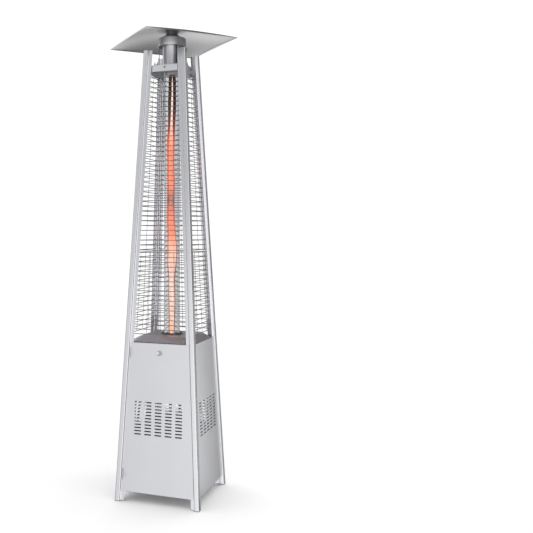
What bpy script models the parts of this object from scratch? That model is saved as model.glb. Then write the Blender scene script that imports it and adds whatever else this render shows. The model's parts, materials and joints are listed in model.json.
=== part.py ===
"""Four-sided pyramid gas patio heater: leaning posts, vented cabinet with a hinged door, gas burner,
glass flame tube, wire guards and a turned square reflector.

Metres, +Z up. The origin is on the floor at the middle of the four feet, and the door faces -Y.
"""

import math

import bpy
import bmesh
from mathutils import Matrix, Vector

# Frame
BASE_HALF = 0.215           # outer half width of the frame at the floor
TOP_HALF = 0.107            # outer half width at the top of the posts
POST_TOP = 2.168
POST_SPLIT = 1.197          # the posts come in two lengths
LEAN = (BASE_HALF - TOP_HALF) / POST_TOP
TUBE = 0.026                # side of the square post tube
TUBE_WALL = 0.0012
TUBE_CORNER = 0.0045
FLANGE = 0.018              # the post's side flanges, which carry panels and guards
FLANGE_THICK = 0.0015
FLANGE_SETBACK = 0.0100      # front of a flange, behind the outer face of the tube
GAP = 0.0003                # between touching parts
OVERLAP = 0.0005            # how far joined shapes reach into each other
BEHIND_FLANGE = FLANGE_SETBACK + FLANGE_THICK + GAP
FOOT_PAD = 0.0035
FOOT_PLUG_LENGTH = 0.018
PLUG_GAP = 0.0015           # between a foot cap's plug and the tube

# Cabinet
PANEL_BOTTOM, PANEL_TOP = 0.048, 0.763
PANEL_RECESS = 0.008        # outer face of a panel, behind the outer face of the tube
SHEET = 0.001
PANEL_SIDE_GAP = 0.0018
FOLD_DEPTH = 0.010
FOLD_INSET = 0.048          # the folds stop short of the flanges
FOLD_STEP = 0.00005         # a fold's face stays this far from the sheet's edge
SLOT_COLUMNS, SLOT_ROWS = 5, 11
SLOT_PITCH_X, SLOT_PITCH_Z = 0.052, 0.0152
SLOT_WIDTH, SLOT_HEIGHT = 0.035, 0.0058
SLOT_CENTRE_Z = 0.404
SHELF_Z = 0.075             # top of the shelf that the gas cylinder stands on
SHELF_HALF, SHELF_FLAT, SHELF_DEPTH, SHELF_SHEET = 0.1975, 0.160, 0.018, 0.0015
HINGE_HEIGHTS = {"lower": 0.130, "upper": 0.711}
HINGE_LENGTH, KNUCKLE_RADIUS, PIN_RADIUS = 0.050, 0.0032, 0.0015
KNUCKLE_GAP = 0.0005
HINGE_INSET = 0.0045        # the hinge line, inboard of the tube and behind its outer face
LEAF = 0.001                # sheet of a hinge leaf
DOOR_LEAF_REACH, FRAME_LEAF_REACH = 0.019, 0.0042
KNOB_Z = 0.716
CATCH_Z, CATCH_X = 0.748, 0.1025

# Burner
DECK_Z = 0.790
TRAY_LIP_Z = 0.765
TRAY_BOTTOM = TRAY_LIP_Z - 0.020
TRAY_SHEET = 0.0012
TRAY_HOLE_RADIUS = 0.0345
CHAMBER_RADIUS, CHAMBER_RIM, CHAMBER_BOTTOM = 0.050, 0.060, 0.700
BURNER_RADIUS, BURNER_BOTTOM, BURNER_TOP = 0.027, 0.735, 0.792
MIXER_RADIUS, MIXER_WALL = 0.011, 0.0012
MIXER_BOTTOM, MIXER_TOP = 0.668, 0.7475
INJECTOR_BOTTOM, INJECTOR_TOP = 0.644, 0.662
GLASS_RADIUS, GLASS_WALL = 0.039, 0.0025
GLASS_BOTTOM, GLASS_TOP = 0.7925, 2.0885
SEAT_RING_TOP = 0.7965
PILOT = (-0.020, -0.0335, 0.783)    # tip of the pilot burner, beside the burner head
PROBE = (0.020, -0.0335, 0.783)     # tip of the thermocouple
PIPE_RADIUS, THIN_PIPE_RADIUS = 0.0032, 0.0018

# Controls, on a plate behind the door
CONTROL_Y = -0.1360         # front face of the control plate
CONTROL_SHEET = 0.0012
CONTROL_HALF, CONTROL_BOTTOM = 0.098, 0.600
CONTROL_FOLD_Y = -0.1498    # front edge of the fold that hangs from the tray
VALVE_X, BUTTON_X, CONTROL_Z = 0.012, -0.050, 0.665
VALVE_HALF, VALVE_DEPTH = 0.018, 0.044
STEM_RADIUS, CONE_RADIUS = 0.004, 0.0120
PLUNGER_RADIUS = 0.0045
IGNITER_RADIUS, IGNITER_DEPTH = 0.011, 0.050
KNOB_TRAVEL, BUTTON_TRAVEL = 0.004, 0.005
STOP_GAP = 0.0015           # left between a pressed knob or button and the plate

# Guards
GUARD_BOTTOM, GUARD_SPLIT, GUARD_TOP = 0.802, 1.200, 2.060
GUARD_THICK, GUARD_SIDE = 0.003, 0.030
GUARD_BAR = 0.003
GUARD_PITCH = 0.094
GUARD_SPLIT_GAP = 0.008

# Head
BRACKET_TOP, BRACKET_DEPTH, BRACKET_SHEET = 2.0955, 0.0315, 0.0012
BRACKET_FLATS = 0.0625, 0.0640      # half the length of its flat sides, at the top and at the bottom
BRACKET_HOLE_RADIUS = 0.0350
SLEEVE_RADIUS, SLEEVE_TOP, SLEEVE_FLANGE, SLEEVE_WALL = 0.046, 2.212, 0.052, 0.0010
COLLAR_RADIUS, COLLAR_BOTTOM, COLLAR_TOP, COLLAR_WALL = 0.069, 2.198, 2.238, 0.0012
STRAP_WIDTH, STRAP_THICK, STRAP_ANGLE = 0.007, 0.0015, math.radians(40)
STRAP_RING = 0.0545, 0.0665         # inner and outer radius of the ring under the straps
TAB_HALF, TAB_INNER = 0.0080, 0.060
SPACER_BOTTOM_RADIUS, SPACER_TOP_RADIUS = 0.0550, 0.028
REFLECTOR_HALF, REFLECTOR_Z = 0.2365, 2.217
REFLECTOR_RISE, REFLECTOR_ARCH = 0.047, 0.0060
REFLECTOR_SHEET, REFLECTOR_LIP = 0.0010, 0.0012
REFLECTOR_CELLS = 10

PARTS = bpy.data.collections.new("patio_heater")
CUTTERS = bpy.data.collections.new("cutters")
CORNERS = ("rear_right", "rear_left", "front_left", "front_right")


def half(z):
    """Outer half width of the leaning frame at height z."""
    return BASE_HALF - LEAN * z


# ---------------------------------------------------------------- helpers

def clear_scene():
    for obj in list(bpy.data.objects):
        bpy.data.objects.remove(obj, do_unlink=True)
    for collection in (PARTS, CUTTERS):
        bpy.context.scene.collection.children.link(collection)


def material(name, colour, roughness, metallic=0.0, alpha=1.0):
    made = bpy.data.materials.new(name)
    made.use_nodes = True
    shader = made.node_tree.nodes["Principled BSDF"]
    shader.inputs["Base Color"].default_value = (*colour, 1.0)
    shader.inputs["Roughness"].default_value = roughness
    shader.inputs["Metallic"].default_value = metallic
    shader.inputs["Alpha"].default_value = alpha
    return made


def add_object(name, mesh, finish=None, cutter=False):
    obj = bpy.data.objects.new(name, mesh)
    (CUTTERS if cutter else PARTS).objects.link(obj)
    if cutter:
        obj.hide_render = True
        obj.display_type = "WIRE"
    if finish:
        mesh.materials.clear()
        mesh.materials.append(finish)
    return obj


def mesh_of(bm, name):
    bmesh.ops.recalc_face_normals(bm, faces=bm.faces)
    mesh = bpy.data.meshes.new(name)
    bm.to_mesh(mesh)
    bm.free()
    return mesh


def box_mesh(name, low, high):
    bm = bmesh.new()
    bmesh.ops.create_cube(bm, size=1.0)
    for v in bm.verts:
        v.co = Vector(low[i] if v.co[i] < 0 else high[i] for i in range(3))
    return mesh_of(bm, name)


def cylinder_mesh(name, radius, low, high, segments=24, axis="Z", centre=(0, 0)):
    """A cylinder along an axis from low to high; centre holds its other two coordinates in order."""
    bm = bmesh.new()
    bmesh.ops.create_cone(
        bm, cap_ends=True, segments=segments, radius1=radius, radius2=radius, depth=high - low
    )
    bmesh.ops.translate(bm, verts=bm.verts, vec=(0, 0, (low + high) / 2))
    if axis == "Y":
        turn = Matrix.Rotation(math.radians(-90), 3, "X")
        bmesh.ops.rotate(bm, verts=bm.verts, matrix=turn, cent=(0, 0, 0))
        bmesh.ops.translate(bm, verts=bm.verts, vec=(centre[0], 0, centre[1]))
    else:
        bmesh.ops.translate(bm, verts=bm.verts, vec=(centre[0], centre[1], 0))
    return mesh_of(bm, name)


def turned(name, profile, finish, segments=24):
    """A closed profile of (radius, z) points, screwed round Z. It runs down its outer side."""
    bm = bmesh.new()
    verts = [bm.verts.new((r, 0, z)) for r, z in profile]
    for a, b in zip(verts, verts[1:] + verts[:1]):
        bm.edges.new((a, b))
    mesh = bpy.data.meshes.new(name)
    bm.to_mesh(mesh)
    bm.free()
    obj = add_object(name, mesh, finish)
    screw = obj.modifiers.new("Turn", "SCREW")
    screw.steps = screw.render_steps = segments
    screw.use_merge_vertices = True
    screw.merge_threshold = 0.00001
    mesh.shade_smooth()
    return obj


def boolean(obj, other, operation="DIFFERENCE"):
    made = obj.modifiers.new(operation.title(), "BOOLEAN")
    made.operation = operation
    made.object = other


def cut(obj, mesh):
    """Cuts mesh, which is in world space, out of obj."""
    boolean(obj, add_object("cut_" + mesh.name, mesh, cutter=True))


def join(obj, mesh):
    """Joins mesh, given in obj's own space, to obj."""
    other = add_object("join_" + mesh.name, mesh, cutter=True)
    other.matrix_world = obj.matrix_world
    boolean(obj, other, "UNION")


def prism_mesh(name, outline, low, high):
    """A closed XY outline, counter-clockwise, extruded from z=low to z=high."""
    bm = bmesh.new()
    base = bm.faces.new([bm.verts.new((x, y, low)) for x, y in outline])
    raised = bmesh.ops.extrude_face_region(bm, geom=[base], use_keep_orig=True)
    verts = [v for v in raised["geom"] if isinstance(v, bmesh.types.BMVert)]
    bmesh.ops.translate(bm, verts=verts, vec=(0, 0, high - low))
    return mesh_of(bm, name)


def lean_corner(mesh):
    """Shears a mesh drawn about the outer corner (0, 0) onto the leaning +X +Y corner."""
    for v in mesh.vertices:
        v.co.x += half(v.co.z)
        v.co.y += half(v.co.z)


def sided_strip(name, outline, inset):
    """A closed (setback, z) outline for the front face, run between ends inset from the frame's corners.

    Setback is measured inwards from the outer face of the frame, so the strip leans with it.
    """
    bm = bmesh.new()
    rows = []
    for sign in (-1, 1):
        ends = [(sign * (half(z) - inset), back - half(z), z) for back, z in outline]
        rows.append([bm.verts.new(end) for end in ends])
    left, right = rows
    bm.faces.new(left)
    bm.faces.new(reversed(right))
    count = len(outline)
    for i in range(count):
        j = (i + 1) % count
        bm.faces.new((left[i], left[j], right[j], right[i]))
    return mesh_of(bm, name)


def cut_square(half_width, half_flat):
    """A square outline with its corners cut off: eight points."""
    points = []
    for quarter in range(4):
        turn = Matrix.Rotation(quarter * math.pi / 2, 2)
        points += [turn @ Vector((half_width, side * half_flat)) for side in (-1, 1)]
    return points


def stepped_shell(name, levels, thickness, finish):
    """A folded sheet lid: a flat top and skirts through cut-square levels (half, flat half, z)."""
    bm = bmesh.new()
    rings = [[bm.verts.new((x, y, z)) for x, y in cut_square(wide, flat)] for wide, flat, z in levels]
    bm.faces.new(rings[0])
    for upper, lower in zip(rings, rings[1:]):
        for i in range(8):
            j = (i + 1) % 8
            bm.faces.new((upper[i], lower[i], lower[j], upper[j]))
    obj = add_object(name, mesh_of(bm, name), finish)
    solid = obj.modifiers.new("Sheet", "SOLIDIFY")
    solid.thickness = thickness
    solid.offset = -1
    solid.use_even_offset = True
    return obj


def smooth_path(points, per_span=2):
    """Points on a smooth curve (Catmull-Rom) through the given ones."""
    path = [Vector(p) for p in points]
    ends = [path[0] * 2 - path[1], *path, path[-1] * 2 - path[-2]]
    made = []
    for a, b, c, d in zip(ends, ends[1:], ends[2:], ends[3:]):
        for step in range(per_span):
            t = step / per_span
            made.append(
                0.5 * (2 * b + (c - a) * t + (2 * a - 5 * b + 4 * c - d) * t * t
                       + (3 * b - a - 3 * c + d) * t ** 3)
            )
    return [*made, path[-1]]


def tube(name, points, radius, finish):
    curve = bpy.data.curves.new(name, "CURVE")
    curve.dimensions = "3D"
    curve.bevel_depth = radius
    curve.bevel_resolution = 2
    curve.use_fill_caps = True
    path = smooth_path(points)
    spline = curve.splines.new("POLY")
    spline.points.add(len(path) - 1)
    for point, place in zip(spline.points, path):
        point.co = (*place, 1)
    obj = bpy.data.objects.new(name, curve)
    curve.materials.append(finish)
    PARTS.objects.link(obj)
    return obj


# ---------------------------------------------------------------- frame

def arc(centre, radius, start, steps=2):
    """Points of a quarter turn from the start angle in degrees."""
    return [
        (
            centre[0] + radius * math.cos(math.radians(start + 90 * i / steps)),
            centre[1] + radius * math.sin(math.radians(start + 90 * i / steps)),
        )
        for i in range(steps + 1)
    ]


def post_outline():
    """Section of a post at the +X +Y corner, with its outer corner at (0, 0)."""
    r, t = TUBE_CORNER, TUBE
    near, far = -FLANGE_SETBACK, -FLANGE_SETBACK - FLANGE_THICK
    end = -t - FLANGE
    return [
        *arc((-r, -r), r, 0),
        *arc((-t + r, -r), r, 90),
        (-t, near), (end, near), (end, far), (-t, far),
        (-t, -t),
        (far, -t), (far, end), (near, end), (near, -t),
        *arc((-r, -t + r), r, 270),
    ]


def rounded_square(low, high, r):
    """A square outline with rounded corners, the same from low to high in X and Y."""
    return [
        *arc((high - r, high - r), r, 0),
        *arc((low + r, high - r), r, 90),
        *arc((low + r, low + r), r, 180),
        *arc((high - r, low + r), r, 270),
    ]


def make_posts(steel, plug):
    """Two lengths of tube and a foot cap at each corner. Each quarter turn is one more corner."""
    bore_outline = rounded_square(-TUBE + TUBE_WALL, -TUBE_WALL, TUBE_CORNER - TUBE_WALL)
    bore = prism_mesh("post_bore", bore_outline, -TUBE, POST_TOP + TUBE)
    lean_corner(bore)
    pieces = {
        "lower_post": (steel, prism_mesh("lower_post", post_outline(), FOOT_PAD + GAP, POST_SPLIT)),
        "upper_post": (steel, prism_mesh("upper_post", post_outline(), POST_SPLIT + GAP, POST_TOP)),
        "foot_cap": (plug, foot_cap_mesh(TUBE_WALL + PLUG_GAP)),
    }
    for _, mesh in pieces.values():
        lean_corner(mesh)
    for quarter, corner in enumerate(CORNERS):
        cutter = add_object(f"cut_post_bore_{corner}", bore, cutter=True)
        cutter.rotation_euler.z = quarter * math.pi / 2
        for name, (finish, mesh) in pieces.items():
            obj = add_object(f"{name}_{corner}", mesh, finish)
            obj.rotation_euler.z = quarter * math.pi / 2
            if name != "foot_cap":
                boolean(obj, cutter)


def foot_cap_mesh(inset):
    """A square pad with a plug on it, inset from the pad's sides, that fits inside the tube."""
    bm = bmesh.new()
    bmesh.ops.create_cube(bm, size=1.0)
    bmesh.ops.scale(bm, verts=bm.verts, vec=(TUBE, TUBE, FOOT_PAD))
    bmesh.ops.translate(bm, verts=bm.verts, vec=(-TUBE / 2, -TUBE / 2, FOOT_PAD / 2))
    top = max(bm.faces, key=lambda face: face.calc_center_median().z)
    bmesh.ops.inset_region(bm, faces=[top], thickness=inset, use_even_offset=True)
    raised = bmesh.ops.extrude_face_region(bm, geom=[top])
    verts = [v for v in raised["geom"] if isinstance(v, bmesh.types.BMVert)]
    bmesh.ops.translate(bm, verts=verts, vec=(0, 0, FOOT_PLUG_LENGTH))
    bmesh.ops.delete(bm, geom=[top], context="FACES_ONLY")
    return mesh_of(bm, "foot_cap")


# ---------------------------------------------------------------- cabinet

def slot_block_mesh():
    """All the vent slots of one panel, as blocks through the front face."""
    bm = bmesh.new()
    for column in range(SLOT_COLUMNS):
        for row in range(SLOT_ROWS):
            x = (column - (SLOT_COLUMNS - 1) / 2) * SLOT_PITCH_X
            z = SLOT_CENTRE_Z + (row - (SLOT_ROWS - 1) / 2) * SLOT_PITCH_Z
            place = Matrix.Translation((x, -half(z) + PANEL_RECESS, z))
            size = Matrix.Diagonal((SLOT_WIDTH, 2 * PANEL_RECESS, SLOT_HEIGHT, 1))
            bmesh.ops.create_cube(bm, size=1.0, matrix=place @ size)
    return mesh_of(bm, "vent_slots")


def make_panels(steel):
    back = PANEL_RECESS + SHEET
    deep = PANEL_RECESS + FOLD_DEPTH
    top, bottom = PANEL_TOP, PANEL_BOTTOM
    section = [(PANEL_RECESS, top), (back, top), (back, bottom), (PANEL_RECESS, bottom)]
    sheet = sided_strip("panel_sheet", section, TUBE + PANEL_SIDE_GAP)
    folds = {
        "top_fold": (top - SHEET, top - FOLD_STEP),
        "bottom_fold": (bottom + FOLD_STEP, bottom + SHEET),
    }
    strips = {}
    for name, (low, high) in folds.items():
        start = back - OVERLAP
        strips[name] = sided_strip(name, [(start, high), (deep, high), (deep, low), (start, low)], FOLD_INSET)
    slots = slot_block_mesh()
    for quarter, name in enumerate(("front_door", "right_panel", "rear_panel", "left_panel")):
        obj = add_object(name, sheet.copy(), steel)
        obj.rotation_euler.z = quarter * math.pi / 2
        bpy.context.view_layer.update()
        for strip in strips.values():
            join(obj, strip)
        cutter = add_object("cut_slots_" + name, slots, cutter=True)
        cutter.rotation_euler.z = obj.rotation_euler.z
        boolean(obj, cutter)


def hinge_frame(z):
    """Place and turn of the hinge line at height z: local Z runs up the front left post."""
    line = Vector((LEAN, LEAN, 1)).normalized()
    across = Vector((1, 0, -LEAN)).normalized()
    back = line.cross(across)
    turn = Matrix((across, back, line)).transposed().to_4x4()
    inset = TUBE + HINGE_INSET
    return Matrix.Translation((-(half(z) - inset), -(half(z) - HINGE_INSET), z)) @ turn


def make_hinges(steel):
    """Two butt hinges in the recess beside the front left tube. Each has a frame leaf with the pin."""
    reach, knuckle = HINGE_LENGTH / 2, HINGE_LENGTH / 4
    door_end = knuckle - KNUCKLE_GAP
    wall = -HINGE_INSET + GAP                   # the side of the tube, seen from the hinge line
    for name, z in HINGE_HEIGHTS.items():
        pin = cylinder_mesh("pin", PIN_RADIUS, -reach, reach, 12)
        sleeve = cylinder_mesh("knuckle", KNUCKLE_RADIUS, -door_end, door_end, 16)
        frame_leaf = add_object(f"{name}_hinge_frame_leaf", pin, steel)
        door_leaf = add_object(f"{name}_hinge_door_leaf", sleeve, steel)
        for obj in (frame_leaf, door_leaf):
            obj.matrix_world = hinge_frame(z)
        bpy.context.view_layer.update()
        for low, high in ((-reach, -knuckle), (knuckle, reach)):
            join(frame_leaf, cylinder_mesh("knuckle", KNUCKLE_RADIUS, low, high, 16))
            join(frame_leaf, box_mesh("leaf", (wall, -LEAF, low), (wall + LEAF, FRAME_LEAF_REACH, high)))
            web_low, web_high = (wall + OVERLAP, -LEAF / 2, low), (-PIN_RADIUS + OVERLAP, LEAF / 2, high)
            join(frame_leaf, box_mesh("web", web_low, web_high))
        leaf_low = (OVERLAP, KNUCKLE_RADIUS - LEAF, -door_end)
        join(door_leaf, box_mesh("leaf", leaf_low, (DOOR_LEAF_REACH, KNUCKLE_RADIUS, door_end)))
        bore_mesh = cylinder_mesh("bore", PIN_RADIUS + 0.0004, -reach, reach, 16)
        bore = add_object(f"cut_bore_{name}", bore_mesh, cutter=True)
        bore.matrix_world = hinge_frame(z)
        boolean(door_leaf, bore)


def make_door_fittings(chrome, dark):
    """The pull knob on the door, and the magnetic catch with its strike plate."""
    profile = [(0.0, 0.017), (0.0075, 0.017), (0.0096, 0.0158), (0.0102, 0.0135), (0.0096, 0.011),
               (0.0062, 0.008), (0.0058, 0.0), (0.0, 0.0)]
    knob = turned("door_knob", profile, chrome, 24)
    knob.location = (0, -(half(KNOB_Z) - PANEL_RECESS) - GAP, KNOB_Z)
    knob.rotation_euler.x = math.radians(90) - math.atan(LEAN)
    for name, finish, half_width, half_height, front, back in (
        ("magnetic_catch", dark, 0.0175, 0.0100, -0.1585, -0.1503),
        ("strike_plate", chrome, 0.0195, 0.0095, -0.1680, -0.1589),
    ):
        low = (CATCH_X - half_width, front, CATCH_Z - half_height)
        high = (CATCH_X + half_width, back, CATCH_Z + half_height)
        add_object(name, box_mesh(name, low, high), finish)


def make_shelf(steel):
    levels = [(SHELF_HALF, SHELF_FLAT, z) for z in (SHELF_Z, SHELF_Z - SHELF_DEPTH)]
    stepped_shell("cylinder_shelf", levels, SHELF_SHEET, steel)


# ---------------------------------------------------------------- burner

def make_tray(dark):
    """A square deck with sloping sides and an upright skirt, and a hole for the burner."""
    levels = [
        (0.118, 0.108, DECK_Z),
        (0.165, 0.127, TRAY_LIP_Z + 0.0003),
        (0.150, 0.1235, TRAY_LIP_Z),
        (0.150, 0.1235, TRAY_BOTTOM),
    ]
    tray = stepped_shell("burner_tray", levels, TRAY_SHEET, dark)
    cut(tray, cylinder_mesh("deck_hole", TRAY_HOLE_RADIUS, TRAY_LIP_Z, DECK_Z + TRAY_SHEET, 32))


def make_burner(steel, dark, brass):
    """The chamber under the tray, the burner head in it, its mixing tube and the injector below."""
    sheet = TRAY_SHEET
    top = DECK_Z - sheet - GAP
    inner, floor = CHAMBER_RADIUS - sheet, CHAMBER_BOTTOM + sheet
    hole = MIXER_RADIUS + 0.002
    chamber = turned(
        "burner_chamber",
        [(CHAMBER_RIM, top), (CHAMBER_RIM, top - sheet), (CHAMBER_RADIUS, top - sheet),
         (CHAMBER_RADIUS, CHAMBER_BOTTOM), (hole, CHAMBER_BOTTOM), (hole, floor), (inner, floor),
         (inner, top)],
        dark,
    )
    for name, (x, y, _) in (("pilot_hole", PILOT), ("probe_hole", PROBE)):
        low, high = CHAMBER_BOTTOM - sheet, floor + sheet
        cut(chamber, cylinder_mesh(name, 2 * THIN_PIPE_RADIUS, low, high, 12, centre=(x, y)))
    mouth, wall = MIXER_RADIUS + 0.0015, 0.0015
    turned(
        "burner_head",
        [(0.010, BURNER_TOP), (0.021, BURNER_TOP - 0.002), (BURNER_RADIUS, BURNER_TOP - 0.010),
         (BURNER_RADIUS, BURNER_BOTTOM), (mouth, BURNER_BOTTOM), (mouth, BURNER_BOTTOM + wall),
         (BURNER_RADIUS - wall, BURNER_BOTTOM + wall), (BURNER_RADIUS - wall, BURNER_TOP - 0.011),
         (0.020, BURNER_TOP - 0.0035), (0.010, BURNER_TOP - wall)],
        steel,
    )
    bore = MIXER_RADIUS - MIXER_WALL
    turned(
        "mixing_tube",
        [(MIXER_RADIUS, MIXER_TOP), (MIXER_RADIUS, MIXER_BOTTOM), (bore, MIXER_BOTTOM), (bore, MIXER_TOP)],
        steel,
        20,
    )
    turned(
        "gas_injector",
        [(0.0, INJECTOR_TOP), (0.0030, INJECTOR_TOP), (0.0065, INJECTOR_TOP - 0.007),
         (0.0065, INJECTOR_BOTTOM), (0.0, INJECTOR_BOTTOM)],
        brass,
        12,
    )


def make_glass(glass, ceramic):
    """The tube that the flame burns in, and the ring it stands in."""
    inner, seat = GLASS_RADIUS - GLASS_WALL, GLASS_RADIUS + 0.0005
    floor, shelf = DECK_Z + GAP, GLASS_BOTTOM - GAP
    turned(
        "tube_seat_ring",
        [(0.050, SEAT_RING_TOP), (0.053, floor), (0.0355, floor), (0.0355, shelf), (seat, shelf),
         (seat, SEAT_RING_TOP)],
        ceramic,
        28,
    )
    turned(
        "glass_tube",
        [(GLASS_RADIUS, GLASS_TOP), (GLASS_RADIUS, GLASS_BOTTOM), (inner, GLASS_BOTTOM), (inner, GLASS_TOP)],
        glass,
        32,
    )


def make_pipes(copper, brass):
    """Pipes from the valve to the injector and the pilot, and the thermocouple's lead."""
    back = CONTROL_Y + VALVE_DEPTH
    x, z = VALVE_X, CONTROL_Z
    tube(
        "burner_gas_pipe",
        [(x, back + GAP, z), (x, back + 0.008, z), (x, back + 0.022, z - 0.006),
         (x * 0.7, back + 0.046, z - 0.028), (x * 0.2, back + 0.072, z - 0.044),
         (0, -0.010, z - 0.050), (0, 0, z - 0.044), (0, 0, z - 0.032), (0, 0, INJECTOR_BOTTOM - GAP)],
        PIPE_RADIUS,
        copper,
    )
    for name, tip, side, finish in (
        ("pilot_gas_pipe", PILOT, -1, copper),
        ("thermocouple", PROBE, 1, brass),
    ):
        start, (end, depth, _) = x + side * 0.010, tip
        tube(
            name,
            [(start, back + GAP, z + 0.011), (start, back + 0.006, z + 0.011),
             (start, back + 0.016, z + 0.0115), ((start + end) / 2, depth - 0.020, z + 0.013),
             (end, depth - 0.006, z + 0.018), (end, depth, z + 0.028), (end, depth, z + 0.075), tip],
            THIN_PIPE_RADIUS,
            finish,
        )


# ---------------------------------------------------------------- controls

def make_control_plate(steel):
    """A plate that hangs from the tray by its top fold, with holes for the valve and the igniter."""
    back, top = CONTROL_Y + CONTROL_SHEET, TRAY_BOTTOM - GAP
    low, high = (-CONTROL_HALF, CONTROL_Y, CONTROL_BOTTOM), (CONTROL_HALF, back, top)
    plate = add_object("control_plate", box_mesh("control_plate", low, high), steel)
    fold_half = CONTROL_HALF - FOLD_STEP
    fold_low = (-fold_half, CONTROL_FOLD_Y, top - CONTROL_SHEET)
    join(plate, box_mesh("control_fold", fold_low, (fold_half, CONTROL_Y + OVERLAP, top - FOLD_STEP)))
    for name, x in (("stem_hole", VALVE_X), ("plunger_hole", BUTTON_X)):
        cut(plate, cylinder_mesh(name, 0.0065, CONTROL_Y - 0.005, back + 0.005, 16, "Y", (x, CONTROL_Z)))


def make_valve(steel, brass):
    """The valve body on the plate's back, the cone that turns in it, the stem and the hose inlet."""
    front = CONTROL_Y + CONTROL_SHEET + GAP
    axis = (VALVE_X, CONTROL_Z)
    low = (VALVE_X - VALVE_HALF, front, CONTROL_Z - VALVE_HALF)
    high = (VALVE_X + VALVE_HALF, CONTROL_Y + VALVE_DEPTH, CONTROL_Z + VALVE_HALF)
    body = add_object("gas_valve_body", box_mesh("valve", low, high), brass)
    ahead, cone_end = CONTROL_Y - 0.010, CONTROL_Y + 0.026
    cut(body, cylinder_mesh("cone_bore", CONE_RADIUS + 0.0006, ahead, cone_end + 0.008, 32, "Y", axis))
    cone_mesh = cylinder_mesh("valve_cone", CONE_RADIUS, front + 0.0002, cone_end, 32, "Y", axis)
    cone = add_object("valve_cone", cone_mesh, steel)
    cut(cone, cylinder_mesh("cone_hole", STEM_RADIUS + 0.0004, ahead, cone_end + 0.014, 20, "Y", axis))
    stem_front = CONTROL_Y - KNOB_TRAVEL - STOP_GAP - 0.010
    stem = cylinder_mesh("valve_stem", STEM_RADIUS, stem_front, cone_end + 0.002, 16, "Y", axis)
    add_object("valve_stem", stem, steel)
    inlet_top = CONTROL_Z - VALVE_HALF - GAP
    inlet = turned(
        "valve_inlet",
        [(0.0, inlet_top), (0.0075, inlet_top), (0.0075, 0.640), (0.0060, 0.638), (0.0060, 0.618),
         (0.0, 0.618)],
        brass,
        12,
    )
    inlet.location = (VALVE_X, CONTROL_Y + 0.030, 0)


def make_control_knob(black):
    """A round knob with a raised grip across its face, on the valve's stem."""
    back = CONTROL_Y - KNOB_TRAVEL - STOP_GAP
    profile = [(0.0, 0.018), (0.0165, 0.018), (0.0185, 0.0165), (0.0205, 0.004), (0.0205, 0.0), (0.0, 0.0)]
    knob = turned("control_knob", profile, black, 32)
    knob.rotation_euler.x = math.radians(90)
    knob.location = (VALVE_X, back, CONTROL_Z)
    bpy.context.view_layer.update()
    join(knob, box_mesh("grip", (-0.003, -0.0185, 0.010), (0.003, 0.0200, 0.022)))
    bore_end = back - 0.0103
    hub = cylinder_mesh("hub_bore", STEM_RADIUS + GAP, bore_end, back + 0.002, 16, "Y", (VALVE_X, CONTROL_Z))
    cut(knob, hub)


def make_igniter(black, red):
    """The igniter on the plate's back and the button that is pressed into it, and the tilt switch."""
    back = CONTROL_Y + CONTROL_SHEET + GAP
    axis = (BUTTON_X, CONTROL_Z)
    body_mesh = cylinder_mesh("igniter_body", IGNITER_RADIUS, back, CONTROL_Y + IGNITER_DEPTH, 20, "Y", axis)
    igniter = add_object("igniter_body", body_mesh, black)
    bore_radius, bore_end = PLUNGER_RADIUS + 0.001, CONTROL_Y + 0.024
    cut(igniter, cylinder_mesh("plunger_bore", bore_radius, CONTROL_Y, bore_end, 16, "Y", axis))
    button = turned(
        "igniter_button",
        [(0.0, 0.0080), (0.0070, 0.0080), (0.0090, 0.0062), (0.0090, 0.0), (PLUNGER_RADIUS, 0.0),
         (PLUNGER_RADIUS, -0.020), (0.0, -0.020)],
        red,
        20,
    )
    button.rotation_euler.x = math.radians(90)
    button.location = (BUTTON_X, CONTROL_Y - BUTTON_TRAVEL - STOP_GAP, CONTROL_Z)
    tilt_mesh = box_mesh("tilt_switch", (0.050, back, 0.648), (0.080, back + 0.0205, 0.684))
    add_object("tilt_switch", tilt_mesh, black)


# ---------------------------------------------------------------- guards and head

def guard_mesh(name, bottom, top, columns):
    """A lattice in a frame bar, behind the flanges of the front face."""
    front, rear = BEHIND_FLANGE, BEHIND_FLANGE + GUARD_THICK
    plate = sided_strip(name, [(front, top), (rear, top), (rear, bottom), (front, bottom)], GUARD_SIDE)
    rows = round((top - bottom) / GUARD_PITCH)
    pitch = (top - bottom) / rows
    bm = bmesh.new()
    for row in range(rows):
        low = bottom + row * pitch + GUARD_BAR / 2
        high = bottom + (row + 1) * pitch - GUARD_BAR / 2
        for column in range(columns):
            corners = []
            for z in (low, high):
                reach = half(z) - GUARD_SIDE - GUARD_BAR
                cell = 2 * reach / columns
                left = -reach + column * cell + (GUARD_BAR / 2 if column else 0)
                right = -reach + (column + 1) * cell - (GUARD_BAR / 2 if column < columns - 1 else 0)
                corners.append((left, right, z))
            hull = []
            for left, right, z in corners:
                for x in (left, right):
                    for back in (front - GUARD_THICK, rear + GUARD_THICK):
                        hull.append(bm.verts.new((x, back - half(z), z)))
            bmesh.ops.convex_hull(bm, input=hull)
    return plate, mesh_of(bm, name + "_cells")


def make_guards(steel):
    for part, bottom, top, columns in (
        ("lower", GUARD_BOTTOM, GUARD_SPLIT - GUARD_SPLIT_GAP / 2, 4),
        ("upper", GUARD_SPLIT + GUARD_SPLIT_GAP / 2, GUARD_TOP, 2),
    ):
        plate, cells = guard_mesh(f"{part}_guard", bottom, top, columns)
        for quarter, side in enumerate(("front", "right", "rear", "left")):
            obj = add_object(f"{part}_guard_{side}", plate.copy(), steel)
            cutter = add_object(f"cut_{part}_guard_{side}", cells, cutter=True)
            obj.rotation_euler.z = cutter.rotation_euler.z = quarter * math.pi / 2
            boolean(obj, cutter)


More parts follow.
